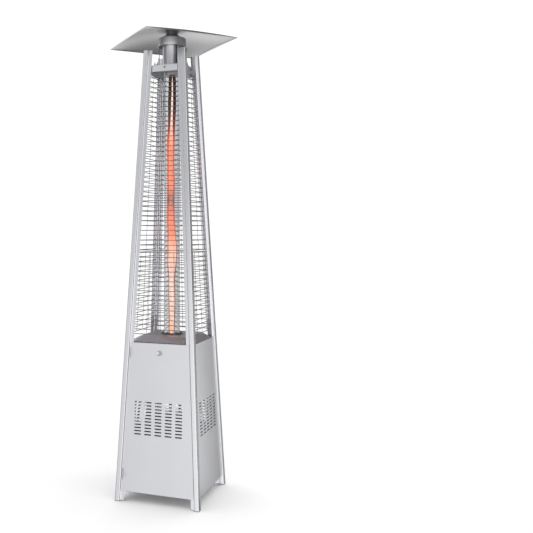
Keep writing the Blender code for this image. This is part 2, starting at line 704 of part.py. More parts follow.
def make_top_bracket(steel):
    """A folded plate between the tops of the posts, with the hole that the glass tube opens into."""
    skirt_z = BRACKET_TOP - BRACKET_DEPTH
    levels = [
        (half(z) - BEHIND_FLANGE, flat, z)
        for z, flat in zip((BRACKET_TOP, skirt_z), BRACKET_FLATS)
    ]
    bracket = stepped_shell("top_bracket", levels, BRACKET_SHEET, steel)
    cut(bracket, cylinder_mesh("glass_hole", BRACKET_HOLE_RADIUS, skirt_z, BRACKET_TOP + BRACKET_SHEET, 32))


def make_collar(steel, dark):
    """The sleeve over the glass tube's end, the collar ring round it and the spacer on the ring's lid."""
    foot = BRACKET_TOP + GAP
    foot_top = foot + SLEEVE_WALL
    inner = SLEEVE_RADIUS - SLEEVE_WALL
    turned(
        "exhaust_sleeve",
        [(SLEEVE_RADIUS, SLEEVE_TOP), (SLEEVE_RADIUS, foot_top), (SLEEVE_FLANGE, foot_top),
         (SLEEVE_FLANGE, foot), (inner, foot), (inner, SLEEVE_TOP)],
        steel,
    )
    inner, lid = COLLAR_RADIUS - COLLAR_WALL, COLLAR_TOP - COLLAR_WALL
    turned(
        "collar_ring",
        [(0.0, COLLAR_TOP), (COLLAR_RADIUS - 0.001, COLLAR_TOP), (COLLAR_RADIUS, COLLAR_TOP - 0.001),
         (COLLAR_RADIUS, COLLAR_BOTTOM), (inner, COLLAR_BOTTOM), (inner, lid), (0.0, lid)],
        steel,
        32,
    )
    base = COLLAR_TOP + GAP
    cone_top = REFLECTOR_Z + REFLECTOR_RISE - 0.0026
    turned(
        "reflector_spacer",
        [(0.0, cone_top), (SPACER_TOP_RADIUS, cone_top), (SPACER_TOP_RADIUS + 0.0005, cone_top - 0.0015),
         (SPACER_BOTTOM_RADIUS, base + 0.0012), (SPACER_BOTTOM_RADIUS, base), (0.0, base)],
        dark,
    )


def make_collar_bracket(finish):
    """Four straps that hold the collar ring up, joined by a ring on the top bracket."""
    foot = BRACKET_TOP + GAP
    outside = COLLAR_RADIUS - COLLAR_WALL - 0.0014
    inner_ring, outer_ring = STRAP_RING
    bracket = turned(
        "collar_bracket",
        [(outer_ring, foot + STRAP_THICK), (outer_ring, foot), (inner_ring, foot),
         (inner_ring, foot + STRAP_THICK)],
        finish,
    )
    bracket.rotation_euler.z = STRAP_ANGLE
    bpy.context.view_layer.update()
    for quarter in range(4):
        strap = box_mesh(
            f"strap_{quarter}",
            (outside - STRAP_THICK, -STRAP_WIDTH / 2, foot + 0.0002),
            (outside, STRAP_WIDTH / 2, COLLAR_TOP - COLLAR_WALL - 0.0004),
        )
        tab_low, tab_high = (TAB_INNER, -TAB_HALF, foot + 0.0001), (outside - 0.0002, TAB_HALF, foot + 0.0014)
        tab = box_mesh(f"tab_{quarter}", tab_low, tab_high)
        for mesh in (strap, tab):
            mesh.transform(Matrix.Rotation(quarter * math.pi / 2, 4, "Z"))
            join(bracket, mesh)


def make_reflector(steel, chrome):
    """A square sheet, domed in the middle, with arched edges and a lip down to the corners' level."""
    bm = bmesh.new()
    bmesh.ops.create_grid(bm, x_segments=REFLECTOR_CELLS, y_segments=REFLECTOR_CELLS, size=REFLECTOR_HALF)
    bm.normal_update()
    rim = [edge for edge in bm.edges if edge.is_boundary]
    bulge = REFLECTOR_RISE - 2 * REFLECTOR_ARCH
    for v in bm.verts:
        u, w = 1 - (v.co.x / REFLECTOR_HALF) ** 2, 1 - (v.co.y / REFLECTOR_HALF) ** 2
        v.co.z = bulge * u * w + REFLECTOR_ARCH * (u + w)
    lip = bmesh.ops.extrude_edge_only(bm, edges=rim)
    for v in lip["geom"]:
        if isinstance(v, bmesh.types.BMVert):
            v.co.z = -REFLECTOR_LIP
    for face in bm.faces:
        face.smooth = True
    obj = add_object("reflector", mesh_of(bm, "reflector"), steel)
    obj.location.z = REFLECTOR_Z
    obj.rotation_euler.z = math.radians(45)
    solid = obj.modifiers.new("Sheet", "SOLIDIFY")
    solid.thickness = REFLECTOR_SHEET
    solid.offset = -1
    nut = turned(
        "reflector_nut",
        [(0.0, 0.0075), (0.0035, 0.0068), (0.0055, 0.0045), (0.0058, 0.0012), (0.0095, 0.0008),
         (0.0095, 0.0), (0.0, 0.0)],
        chrome,
        16,
    )
    nut.location.z = REFLECTOR_Z + REFLECTOR_RISE + GAP


# ---------------------------------------------------------------- assembly

def main():
    clear_scene()
    bright = material("bright_steel", (0.78, 0.78, 0.80), 0.24, 1.0)
    polished = material("polished_steel", (0.82, 0.82, 0.83), 0.10, 1.0)
    dark = material("heat_tinted_steel", (0.20, 0.18, 0.185), 0.40, 1.0)
    brass = material("brass", (0.72, 0.52, 0.25), 0.30, 1.0)
    copper = material("copper", (0.72, 0.38, 0.24), 0.30, 1.0)
    black = material("black_plastic", (0.02, 0.02, 0.02), 0.45)
    red = material("red_button", (0.45, 0.03, 0.03), 0.40)
    plug = material("foot_plastic", (0.55, 0.56, 0.58), 0.55)
    glass = material("glass", (0.95, 0.97, 0.98), 0.03, 0.0, 0.35)
    ceramic = material("fibre_gasket", (0.62, 0.60, 0.57), 0.85)

    make_posts(bright, plug)
    make_panels(bright)
    make_hinges(bright)
    make_door_fittings(polished, black)
    make_shelf(bright)
    make_tray(dark)
    make_burner(bright, dark, brass)
    make_glass(glass, ceramic)
    make_pipes(copper, brass)
    make_control_plate(bright)
    make_valve(bright, brass)
    make_control_knob(black)
    make_igniter(black, red)
    make_guards(bright)
    make_top_bracket(bright)
    make_collar(bright, dark)
    make_collar_bracket(dark)
    make_reflector(bright, polished)


main()
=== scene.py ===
"""Looks of a four-sided pyramid gas patio heater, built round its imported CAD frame.

Metres, +Z up, and the door faces -Y. Places come from the CAD nodes' boxes, and every fine piece rides on
the CAD body that it belongs to.
"""

import json
import math

import bmesh
import bpy
from mathutils import Matrix, Vector


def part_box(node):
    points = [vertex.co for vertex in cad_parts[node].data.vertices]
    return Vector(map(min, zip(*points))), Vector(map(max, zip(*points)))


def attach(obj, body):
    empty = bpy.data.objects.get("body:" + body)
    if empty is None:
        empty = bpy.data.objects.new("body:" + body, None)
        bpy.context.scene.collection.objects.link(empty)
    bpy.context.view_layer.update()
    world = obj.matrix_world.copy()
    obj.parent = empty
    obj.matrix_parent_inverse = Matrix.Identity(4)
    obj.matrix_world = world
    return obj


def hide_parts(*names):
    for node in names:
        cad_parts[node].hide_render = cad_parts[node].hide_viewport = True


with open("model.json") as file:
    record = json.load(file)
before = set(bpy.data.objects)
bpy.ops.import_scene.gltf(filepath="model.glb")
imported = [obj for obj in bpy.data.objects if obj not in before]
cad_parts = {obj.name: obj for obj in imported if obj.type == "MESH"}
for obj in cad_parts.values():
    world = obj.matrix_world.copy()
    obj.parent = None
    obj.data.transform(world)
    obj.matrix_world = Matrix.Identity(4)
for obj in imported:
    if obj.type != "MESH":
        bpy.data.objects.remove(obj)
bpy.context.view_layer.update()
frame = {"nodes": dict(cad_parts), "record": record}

CORNERS = ("rear_right", "rear_left", "front_left", "front_right")
SIDES = ("front", "right", "rear", "left")
QUARTER = math.pi / 2
FACING_FRONT = Matrix.Rotation(QUARTER, 4, "X")      # turns local Z to -Y
SHARP = 32.0                                         # degrees at an edge from which it is drawn sharp


def low(node):
    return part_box(node)[0]


def high(node):
    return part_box(node)[1]


def middle(node):
    return (low(node) + high(node)) / 2


# The leaning frame, read from the CAD boxes
BASE_HALF = high("foot_cap_front_right").x
POST_FOOT, POST_SPLIT = low("lower_post_front_right").z, high("lower_post_front_right").z
UPPER_FOOT, POST_TOP = low("upper_post_front_right").z, high("upper_post_front_right").z
LEAN = (BASE_HALF - high("upper_post_front_right").x) / UPPER_FOOT
LEAN_ANGLE = math.atan(LEAN)

# Section of a post
TUBE, TUBE_WALL, TUBE_CORNER = 0.026, 0.0012, 0.0045
FLANGE, FLANGE_THICK, FLANGE_SETBACK = 0.018, 0.0015, 0.0100

# Panels
PANEL_RECESS, PANEL_SHEET, PANEL_SIDE_GAP = 0.008, 0.001, 0.0018
PANEL_BOTTOM, PANEL_TOP = low("right_panel").z, high("right_panel").z
FOLD_DEPTH, FOLD_INSET, FOLD_RADIUS, FOLD_RELIEF = 0.010, 0.048, 0.002, 0.0015
SLOT_COLUMNS, SLOT_ROWS = 5, 11
SLOT_PITCH_X, SLOT_PITCH_Z = 0.052, 0.0152
SLOT_WIDTH, SLOT_HEIGHT, SLOT_CENTRE_Z = 0.035, 0.0058, 0.404

# Angle of the first strap of the collar, from +X
STRAP_ANGLE = math.radians(40)

# Guards: radius of the level wires and of the uprights, and where they lie
WIRE, UPRIGHT = 0.0019, 0.0011
WIRE_PITCH, GUARD_SETBACK, GUARD_SIDE = 0.0235, 0.0118, 0.0315


def half(z):
    """Outer half width of the leaning frame at height z."""
    return BASE_HALF - LEAN * z


def front_point(x, setback, z):
    """A point on the front side, set back from the outer face of the frame."""
    return Vector((x, setback - half(z), z))


# ---------------------------------------------------------------- shader helpers

def add_node(tree, kind, inputs=None, **settings):
    """Adds a node. An input's value is a constant, or the output socket to link."""
    node = tree.nodes.new(kind)
    for name, value in settings.items():
        setattr(node, name, value)
    for name, value in (inputs or {}).items():
        socket = node.inputs[name]
        if isinstance(value, bpy.types.NodeSocket):
            tree.links.new(value, socket)
        else:
            socket.default_value = value
    return node


def own_place(tree):
    """The piece's own coordinates, in metres."""
    return add_node(tree, "ShaderNodeTexCoord").outputs["Object"]


def stretched(tree, stretch):
    """The piece's own coordinates, scaled differently along each axis."""
    inputs = {"Vector": own_place(tree), "Scale": stretch}
    return add_node(tree, "ShaderNodeMapping", inputs).outputs["Vector"]


def noise(tree, stretch, detail=3.0, roughness=0.55):
    inputs = {"Vector": stretched(tree, stretch), "Scale": 1.0, "Detail": detail, "Roughness": roughness}
    return add_node(tree, "ShaderNodeTexNoise", inputs).outputs["Fac"]


def spread(tree, value, new_low, new_high, old_low=0.3, old_high=0.7):
    """Maps a value from its old range, by default that of a noise, onto a new one."""
    inputs = {
        "Value": value, "From Min": old_low, "From Max": old_high, "To Min": new_low, "To Max": new_high,
    }
    return add_node(tree, "ShaderNodeMapRange", inputs).outputs["Result"]


def ramp(tree, value, stops):
    """A colour ramp through (place, colour) stops."""
    made = add_node(tree, "ShaderNodeValToRGB", {"Fac": value})
    elements = made.color_ramp.elements
    while len(elements) < len(stops):
        elements.new(0.5)
    for element, (place, colour) in zip(elements, stops):
        element.position = place
        element.color = (*colour, 1.0)
    return made.outputs["Color"]


def math_node(tree, operation, a, b):
    return add_node(tree, "ShaderNodeMath", {0: a, 1: b}, operation=operation).outputs["Value"]


def mix(tree, factor, a, b, blend="MIX"):
    """Mixes two colours: inputs 0, 6 and 7 of the node are the factor and the colours."""
    a, b = ((*colour, 1.0) if isinstance(colour, tuple) else colour for colour in (a, b))
    made = add_node(tree, "ShaderNodeMix", {0: factor, 6: a, 7: b}, data_type="RGBA", blend_type=blend)
    return made.outputs[2]


def fade(tree, value, a, b):
    """One colour where a noise is low, another where it is high."""
    return mix(tree, spread(tree, value, 0.0, 1.0), a, b)


def bump(tree, height, strength, distance):
    inputs = {"Height": height, "Strength": strength, "Distance": distance}
    return add_node(tree, "ShaderNodeBump", inputs).outputs["Normal"]


def new_material(**constants):
    """A material, its node tree and its shader, with constants on the shader's own sockets."""
    made = bpy.data.materials.new("finish")
    made.use_nodes = True
    shader = made.node_tree.nodes["Principled BSDF"]
    for socket, value in constants.items():
        shader.inputs[socket.replace("_", " ")].default_value = value
    return made, made.node_tree, shader


def feed(tree, shader, colour, roughness, normal):
    """Links a shader's colour, roughness and bump."""
    for socket, value in (("Base Color", colour), ("Roughness", roughness), ("Normal", normal)):
        tree.links.new(value, shader.inputs[socket])


def scaled(colour, factor):
    return tuple(min(1.0, channel * factor) for channel in colour)


def tinted(colour, *factors):
    """A colour with each channel scaled by its own factor."""
    return tuple(channel * factor for channel, factor in zip(colour, factors))


# ---------------------------------------------------------------- materials

# How tightly a noise is packed along each axis: drawn out along Z, drawn out along X, or even
ALONG_Z = (1100.0, 1100.0, 9.0)
ALONG_X = (9.0, 1100.0, 1100.0)
ALL_WAYS = (420.0, 420.0, 420.0)


def brushed_steel(colour, roughness, grain=ALONG_Z, contrast=0.04, relief=0.03):
    """Brushed stainless: fine lines along the grain, faint handling marks and a few scratches."""
    made, tree, shader = new_material(Metallic=1.0)
    lines = noise(tree, grain, detail=4.0, roughness=0.65)
    clouds = noise(tree, (7.0, 7.0, 4.0), detail=5.0, roughness=0.6)
    scratches = noise(tree, (grain[0] * 0.4, grain[1] * 0.4, grain[2] * 2.5), detail=2.0, roughness=0.4)
    line_colour = fade(tree, lines, scaled(colour, 1 - contrast), scaled(colour, 1 + contrast))
    base = mix(tree, spread(tree, clouds, 0.0, 0.30), line_colour, scaled(colour, 1 - 2 * contrast))
    fine_marks = spread(tree, lines, roughness - 0.04, roughness + 0.04)
    smudges = spread(tree, clouds, -0.015, 0.015)
    hair = spread(tree, scratches, 0.0, 1.0, 0.62, 0.72)
    grooves = math_node(tree, "SUBTRACT", lines, hair)
    feed(tree, shader, base, math_node(tree, "ADD", fine_marks, smudges), bump(tree, grooves, relief, 0.0004))
    return made


def polished_metal(colour, roughness=0.08):
    """Plated or polished metal: almost a mirror, with faint wiping marks."""
    made, tree, shader = new_material(Metallic=1.0)
    wipes = noise(tree, (60.0, 60.0, 25.0), detail=5.0, roughness=0.6)
    feed(tree, shader, fade(tree, wipes, scaled(colour, 0.95), scaled(colour, 1.03)),
         spread(tree, wipes, roughness - 0.03, roughness + 0.05), bump(tree, wipes, 0.04, 0.0006))
    return made


def plated_wire(colour):
    """Drawn and plated wire: small pits under bright and dull patches."""
    made, tree, shader = new_material(Metallic=1.0)
    patches = noise(tree, (90.0, 90.0, 90.0), detail=4.0)
    pits = noise(tree, (900.0, 900.0, 900.0), detail=2.0)
    feed(tree, shader, fade(tree, patches, scaled(colour, 0.90), scaled(colour, 1.06)),
         spread(tree, patches, 0.18, 0.34), bump(tree, pits, 0.12, 0.0002))
    return made


def heat_tinted(colour, centre, reach, roughness=0.38):
    """Steel that has been hot: darker and browner near the heat, with a bloom of oxide."""
    made, tree, shader = new_material(Metallic=1.0)
    away = add_node(tree, "ShaderNodeVectorMath", {0: own_place(tree), 1: centre}, operation="DISTANCE")
    patches = noise(tree, (28.0, 28.0, 28.0), detail=6.0, roughness=0.62)
    grain = noise(tree, ALL_WAYS, detail=3.0)
    wander = spread(tree, patches, -0.2 * reach, 0.2 * reach)
    distance = math_node(tree, "ADD", away.outputs["Value"], wander)
    tint = ramp(tree, spread(tree, distance, 0.0, 1.0, 0.25 * reach, reach), (
        (0.0, scaled(colour, 0.62)),
        (0.35, tinted(colour, 1.06, 0.94, 0.90)),
        (0.7, tinted(colour, 1.02, 0.97, 1.0)),
        (1.0, scaled(colour, 1.12)),
    ))
    speckled = mix(tree, spread(tree, grain, 0.0, 0.5), tint, scaled(colour, 0.75), "MULTIPLY")
    feed(tree, shader, mix(tree, 0.35, tint, speckled),
         spread(tree, patches, roughness - 0.08, roughness + 0.14), bump(tree, grain, 0.08, 0.0003))
    return made


def cast_brass(colour, roughness=0.3):
    """Machined brass or drawn copper, with darker tarnish in patches."""
    made, tree, shader = new_material(Metallic=1.0)
    tarnish = noise(tree, (130.0, 130.0, 130.0), detail=6.0, roughness=0.65)
    turned_marks = noise(tree, (1500.0, 200.0, 1500.0), detail=2.0)
    base = ramp(tree, tarnish, (
        (0.30, tinted(colour, 0.55, 0.45, 0.4)),
        (0.48, scaled(colour, 0.9)),
        (0.75, scaled(colour, 1.08)),
    ))
    feed(tree, shader, base, spread(tree, tarnish, roughness + 0.15, roughness - 0.05),
         bump(tree, turned_marks, 0.10, 0.0002))
    return made


def moulded_plastic(colour, roughness=0.42):
    """Moulded plastic with a spark-eroded grain, a little dust and rubbed patches."""
    made, tree, shader = new_material(Specular_IOR_Level=0.45)
    grain = stretched(tree, (700.0, 700.0, 700.0))
    cells = add_node(tree, "ShaderNodeTexVoronoi", {"Vector": grain, "Scale": 1.0})
    rubbed = noise(tree, (40.0, 40.0, 40.0), detail=5.0)
    dusty = tuple(channel * 0.9 + 0.03 for channel in colour)
    feed(tree, shader, mix(tree, spread(tree, rubbed, 0.0, 1.0, 0.4, 0.75), colour, dusty),
         spread(tree, rubbed, roughness - 0.08, roughness + 0.12),
         bump(tree, cells.outputs["Distance"], 0.12, 0.0003))
    return made


def pressed_fibre(colour):
    """Ceramic fibre: matted threads, browned in patches by heat."""
    made, tree, shader = new_material(Specular_IOR_Level=0.2)
    threads = noise(tree, (600.0, 600.0, 150.0), detail=6.0, roughness=0.7)
    browned = noise(tree, (50.0, 50.0, 50.0), detail=4.0)
    base = fade(tree, browned, colour, tinted(colour, 0.7, 0.6, 0.5))
    feed(tree, shader, mix(tree, spread(tree, threads, 0.0, 0.6), base, scaled(colour, 0.6), "MULTIPLY"),
         spread(tree, threads, 0.8, 0.98), bump(tree, threads, 0.6, 0.0006))
    return made


def clear_tube():
    """Heat-proof glass with drawn streaks along it and a faint bloom."""
    made, tree, shader = new_material(Transmission_Weight=1.0, IOR=1.26)
    streaks = noise(tree, (240.0, 240.0, 3.0), detail=4.0)
    bloom = noise(tree, (14.0, 14.0, 5.0), detail=5.0)
    feed(tree, shader, fade(tree, bloom, (0.98, 0.985, 0.99), (0.93, 0.94, 0.955)),
         spread(tree, bloom, 0.02, 0.07), bump(tree, streaks, 0.04, 0.0006))
    return made


# Colour of the flame by height, as (share of the way up, colour): an orange skin round a paler heart. The
# skin's top turns near black, painted shade inside the top of the tube
FLAME_LOW, FLAME_HIGH = high("burner_head").z + 0.001, low("top_bracket").z - 0.003
VEIL_GLOW_AND_SHADE = (
    (0.00, (0.40, 0.095, 0.045)), (0.12, (0.38, 0.085, 0.040)), (0.26, (0.46, 0.095, 0.045)),
    (0.34, (0.78, 0.20, 0.105)), (0.47, (0.80, 0.17, 0.085)), (0.52, (0.32, 0.095, 0.070)),
    (0.58, (0.80, 0.18, 0.090)), (0.74, (0.78, 0.16, 0.080)), (0.80, (0.26, 0.045, 0.022)),
    (0.86, (0.040, 0.008, 0.006)), (1.00, (0.004, 0.003, 0.004)),
)
CORE_COLOURS = (
    (0.00, (2.30, 1.55, 1.10)), (0.10, (2.50, 2.20, 1.85)), (0.24, (2.60, 2.40, 2.10)),
    (0.32, (2.20, 1.60, 1.25)), (0.40, (1.70, 0.62, 0.40)), (0.52, (0.90, 0.55, 0.48)),
    (0.58, (1.70, 0.60, 0.40)), (0.70, (1.80, 0.66, 0.42)), (0.78, (2.80, 1.60, 1.10)),
    (0.84, (4.00, 3.10, 2.50)), (0.94, (4.00, 2.90, 2.20)), (1.00, (2.00, 1.10, 0.80)),
)


def burning_gas(colours, cover, strength=1.0):
    """Glowing gas: colour by height with licks and darker wisps, partly see-through."""
    made, tree, shader = new_material(
        Base_Color=(0, 0, 0, 1), Roughness=1.0, Specular_IOR_Level=0.0, Emission_Strength=strength)
    axes = add_node(tree, "ShaderNodeSeparateXYZ", {"Vector": own_place(tree)})
    licks = noise(tree, (60.0, 60.0, 14.0), detail=4.0, roughness=0.6)
    height = math_node(tree, "ADD", axes.outputs["Z"], spread(tree, licks, -0.018, 0.018))
    glow = ramp(tree, spread(tree, height, 0.0, 1.0, FLAME_LOW, FLAME_HIGH), colours)
    flicker = spread(tree, noise(tree, (90.0, 90.0, 26.0), detail=5.0), 0.80, 1.12)
    tree.links.new(mix(tree, 1.0, glow, flicker, "MULTIPLY"), shader.inputs["Emission Color"])
    wisps = noise(tree, (45.0, 45.0, 11.0), detail=4.0)
    tree.links.new(spread(tree, wisps, cover - 0.03, cover + 0.03), shader.inputs["Alpha"])
    return made


BRIGHT = (0.86, 0.865, 0.885)
LOOKS = {
    "brushed_frame": brushed_steel(BRIGHT, 0.20),
    "panel_steel": brushed_steel((0.90, 0.905, 0.92), 0.38, contrast=0.02, relief=0.02),
    "formed_steel": brushed_steel(BRIGHT, 0.42, ALONG_X),
    "guard_wire": plated_wire((0.38, 0.38, 0.395)),
    "polished_steel": polished_metal((0.84, 0.845, 0.86)),
    "heat_tinted_steel": heat_tinted((0.56, 0.555, 0.58), (0, 0, high("burner_tray").z), 0.22),
    "reflector_sheet": brushed_steel((0.78, 0.782, 0.775), 0.27, ALONG_X, contrast=0.02),
    "brass": cast_brass((0.74, 0.54, 0.26)),
    "copper_pipe": cast_brass((0.75, 0.40, 0.26), 0.26),
    "black_plastic": moulded_plastic((0.020, 0.020, 0.022)),
    "red_plastic": moulded_plastic((0.42, 0.025, 0.022), 0.3),
    "foot_plastic": moulded_plastic((0.36, 0.37, 0.39), 0.5),
    "quartz_glass": clear_tube(),
    "dark_steel": brushed_steel((0.17, 0.17, 0.19), 0.34),
    "fibre_gasket": pressed_fibre((0.20, 0.17, 0.155)),
    "flame_glow_and_shade_veil": burning_gas(VEIL_GLOW_AND_SHADE, 0.86),
    "flame_core": burning_gas(CORE_COLOURS, 0.95, 2.2),
}


def dress_frame():
    """Names the looks, and gives every CAD node the look of its own slot."""
    for name, finish in LOOKS.items():
        finish.name = name
    slot_of = {part["node"]: part["material_slot"] for part in frame["record"]["subparts"]}
    for node, obj in frame["nodes"].items():
        for place in obj.material_slots:
            place.material = LOOKS[slot_of[node]]


# ---------------------------------------------------------------- mesh helpers

def shaded_mesh(bm, sharp=SHARP):
    """Ends a bmesh: smooth shading, with edges sharp beyond an angle in degrees."""
    mesh = bpy.data.meshes.new("mesh")
    bm.to_mesh(mesh)
    bm.free()
    mesh.shade_smooth()
    mesh.set_sharp_from_angle(angle=math.radians(sharp))
    return mesh


def solid_mesh(bm, sharp=SHARP):
    """Ends the bmesh of closed solids, with their faces turned outwards."""
    bmesh.ops.recalc_face_normals(bm, faces=bm.faces)
    return shaded_mesh(bm, sharp)


def sheet_mesh(bm, facing, sharp=SHARP, merge=True):
    """Ends the bmesh of an open sheet: its faces turned to one side, and flat neighbours merged."""
    bmesh.ops.recalc_face_normals(bm, faces=bm.faces)
    if sum(face.normal.dot(facing) * face.calc_area() for face in bm.faces) < 0:
        bmesh.ops.reverse_faces(bm, faces=bm.faces)
    if merge:
        bmesh.ops.dissolve_limit(bm, angle_limit=math.radians(0.5), verts=bm.verts, edges=bm.edges)
    return shaded_mesh(bm, sharp)


def add_bevel(obj, width, segments=2, angle=SHARP):
    bevel = obj.modifiers.new("Edges", "BEVEL")
    bevel.width = width
    bevel.segments = segments
    bevel.limit_method = "ANGLE"
    bevel.angle_limit = math.radians(angle)


def add_thickness(obj, thickness, even=False):
    """Thickens a sheet away from the side that it faces."""
    solid = obj.modifiers.new("Sheet", "SOLIDIFY")
    solid.thickness = thickness
    solid.offset = -1
    solid.use_even_offset = even


def even_normals(obj):
    """Keeps flat faces flat beside their rounded edges."""
    obj.modifiers.new("Normals", "WEIGHTED_NORMAL").keep_sharp = True


def new_object(name, data):
    obj = bpy.data.objects.new(name, data)
    bpy.context.scene.collection.objects.link(obj)
    return obj


def piece(name, mesh, look, body="frame", node=None, turn=0.0, bevel=0.0):
    """A fine piece on a CAD body. It may stand for a CAD node, and turn puts it on another side."""
    if mesh.users:
        mesh = mesh.copy()
    mesh.name = name
    mesh.materials.clear()
    mesh.materials.append(LOOKS[look])
    obj = new_object(name, mesh)
    obj.rotation_euler.z = turn
    if bevel:
        add_bevel(obj, bevel)
        even_normals(obj)
    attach(obj, body)
    if node:
        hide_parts(node)
    return obj


def fine(node, mesh, look, body="frame", turn=0.0):
    """The fine piece that stands for a CAD node."""
    return piece(f"{node}_fine", mesh, look, body, node, turn)


def arc(centre, radius, start, sweep=90.0, steps=6):
    """Points of an arc in degrees, both ends included."""
    angles = [math.radians(start + sweep * i / steps) for i in range(steps + 1)]
    return [(centre[0] + radius * math.cos(a), centre[1] + radius * math.sin(a)) for a in angles]


def hexagon(angle):
    """Radius of a hexagon in its own direction, where its flats are at 1."""
    return 1 / math.cos(angle % math.radians(60) - math.radians(30))


def fluted(angle):
    """Radius of a round grip with 16 shallow flutes."""
    return 1 - 0.05 * max(0.0, math.cos(16 * angle)) ** 2


def spun(bm, profile, steps=72, place=None, closed=False):
    """Turns (radius, z) points about Z, then places them. A third item shapes its ring by angle.

    A closed profile runs on from its last point to its first.
    """
    place = place or Matrix()
    rings = []
    for radius, z, *shape in profile:
        if radius < 1e-6:
            rings.append([bm.verts.new(place @ Vector((0, 0, z)))])
            continue
        ring = []
        for i in range(steps):
            angle = 2 * math.pi * i / steps
            reach = radius * (shape[0](angle) if shape else 1.0)
            ring.append(bm.verts.new(place @ Vector((reach * math.cos(angle), reach * math.sin(angle), z))))
        rings.append(ring)
    for upper, lower in zip(rings, rings[1:] + rings[:closed]):
        for i in range(steps):
            j = (i + 1) % steps
            corners = [side[k % len(side)] for side, k in ((upper, i), (lower, i), (lower, j), (upper, j))]
            bm.faces.new(list(dict.fromkeys(corners)))


def turned_mesh(profile, steps=72, closed=False, sharp=SHARP, place=None):
    bm = bmesh.new()
    spun(bm, profile, steps, place, closed)
    return solid_mesh(bm, sharp)


def ring_section(inner, outer, bottom, top, edge):
    """Section of a ring with rounded edges, as (radius, z) points."""
    return [
        *arc((outer - edge, top - edge), edge, 90, -90, 3),
        *arc((outer - edge, bottom + edge), edge, 0, -90, 3),
        *arc((inner + edge, bottom + edge), edge, -90, -90, 3),
        *arc((inner + edge, top - edge), edge, 180, -90, 3),
    ]


def extruded(bm, outline, low_y, high_y, place=None):
    """A solid bar whose section is an (x, z) outline, running along Y."""
    place = place or Matrix()
    ends = [[bm.verts.new(place @ Vector((x, y, z))) for x, z in outline] for y in (low_y, high_y)]
    bm.faces.new(ends[0])
    bm.faces.new(ends[1][::-1])
    join_loops(bm, ends[0], ends[1])


def join_loops(bm, lower, upper):
    """Joins two loops of as many points with a band of faces."""
    for i in range(len(lower)):
        j = (i + 1) % len(lower)
        bm.faces.new((lower[i], lower[j], upper[j], upper[i]))


def button_screw(bm, place, radius):
    """A domed screw head with a hexagon socket, standing on the XY plane of its place."""
    height = radius * 0.55
    spun(bm, [
        (0.0, height * 0.35), (radius * 0.40, height * 0.35, hexagon), (radius * 0.40, height, hexagon),
        (radius * 0.62, height * 0.98), (radius * 0.84, height * 0.78), (radius * 0.97, height * 0.42),
        (radius, height * 0.15), (radius * 0.97, 0.0), (0.0, 0.0),
    ], 24, place)


def on_front(x, setback, z):
    """A place on the leaning front side: local Z points out of the side."""
    return Matrix.Translation(front_point(x, setback, z)) @ Matrix.Rotation(QUARTER - LEAN_ANGLE, 4, "X")


def rod(bm, start, end, radius, sides=10):
    """A straight round bar between two points."""
    along = Vector(end) - Vector(start)
    turn = along.to_track_quat("Z", "Y").to_matrix().to_4x4()
    place = Matrix.Translation((Vector(start) + Vector(end)) / 2) @ turn
    bmesh.ops.create_cone(
        bm, cap_ends=True, segments=sides, radius1=radius, radius2=radius, depth=along.length, matrix=place
    )


def fill_between(bm, loops):
    """Fills flat outlines, with the ones inside another left as holes."""
    edges = []
    for loop in loops:
        edges += [bm.edges.new((a, b)) for a, b in zip(loop, loop[1:] + loop[:1])]
    bmesh.ops.triangle_fill(bm, use_beauty=True, use_dissolve=False, edges=edges)


# ---------------------------------------------------------------- posts

def post_outline():
    """Outer section of a post at the +X +Y corner, with its outer corner at (0, 0)."""
    r, t, lip = TUBE_CORNER, TUBE, FLANGE_THICK / 2
    near, far = -FLANGE_SETBACK, -FLANGE_SETBACK - FLANGE_THICK
    centre, end = (near + far) / 2, -t - FLANGE
    return [
        *arc((-r, -r), r, 0),
        *arc((-t + r, -r), r, 90),
        (-t, near),
        *arc((end + lip, centre), lip, 90, 180, 4),
        (-t, far),
        *arc((-t + r, -t + r), r, 180),
        (far, -t),
        *arc((centre, end + lip), lip, 180, 180, 4),
        (near, -t),
        *arc((-r, -t + r), r, 270),
    ]


def bore_outline():
    """The inside of the post's tube."""
    r, inner, outer = TUBE_CORNER - TUBE_WALL, -TUBE + TUBE_WALL, -TUBE_WALL
    return [
        *arc((outer - r, outer - r), r, 0, steps=4),
        *arc((inner + r, outer - r), r, 90, steps=4),
        *arc((inner + r, inner + r), r, 180, steps=4),
        *arc((outer - r, inner + r), r, 270, steps=4),
    ]


def post_mesh(bottom, top):
    """An open tube with two flanges, leaning with the corner of the frame."""
    bm = bmesh.new()
    ends = []
    for z in (bottom, top):
        shift = half(z)
        outlines = (post_outline(), bore_outline())
        loops = [[bm.verts.new((x + shift, y + shift, z)) for x, y in outline] for outline in outlines]
        fill_between(bm, loops)
        ends.append(loops)
    for lower, upper in zip(*ends):
        join_loops(bm, lower, upper)
    return solid_mesh(bm)


def make_posts():
    for part, ends in (("lower_post", (POST_FOOT, POST_SPLIT)), ("upper_post", (UPPER_FOOT, POST_TOP))):
        mesh = post_mesh(*ends)
        for quarter, corner in enumerate(CORNERS):
            even_normals(fine(f"{part}_{corner}", mesh, "brushed_frame", turn=quarter * QUARTER))


# ---------------------------------------------------------------- panels

def slot_outline(x, z):
    """A vent slot with round ends, as (x, z) points."""
    r = SLOT_HEIGHT / 2
    reach = SLOT_WIDTH / 2 - r
    return [*arc((x + reach, z), r, -90, 180, 6), *arc((x - reach, z), r, 90, 180, 6)]


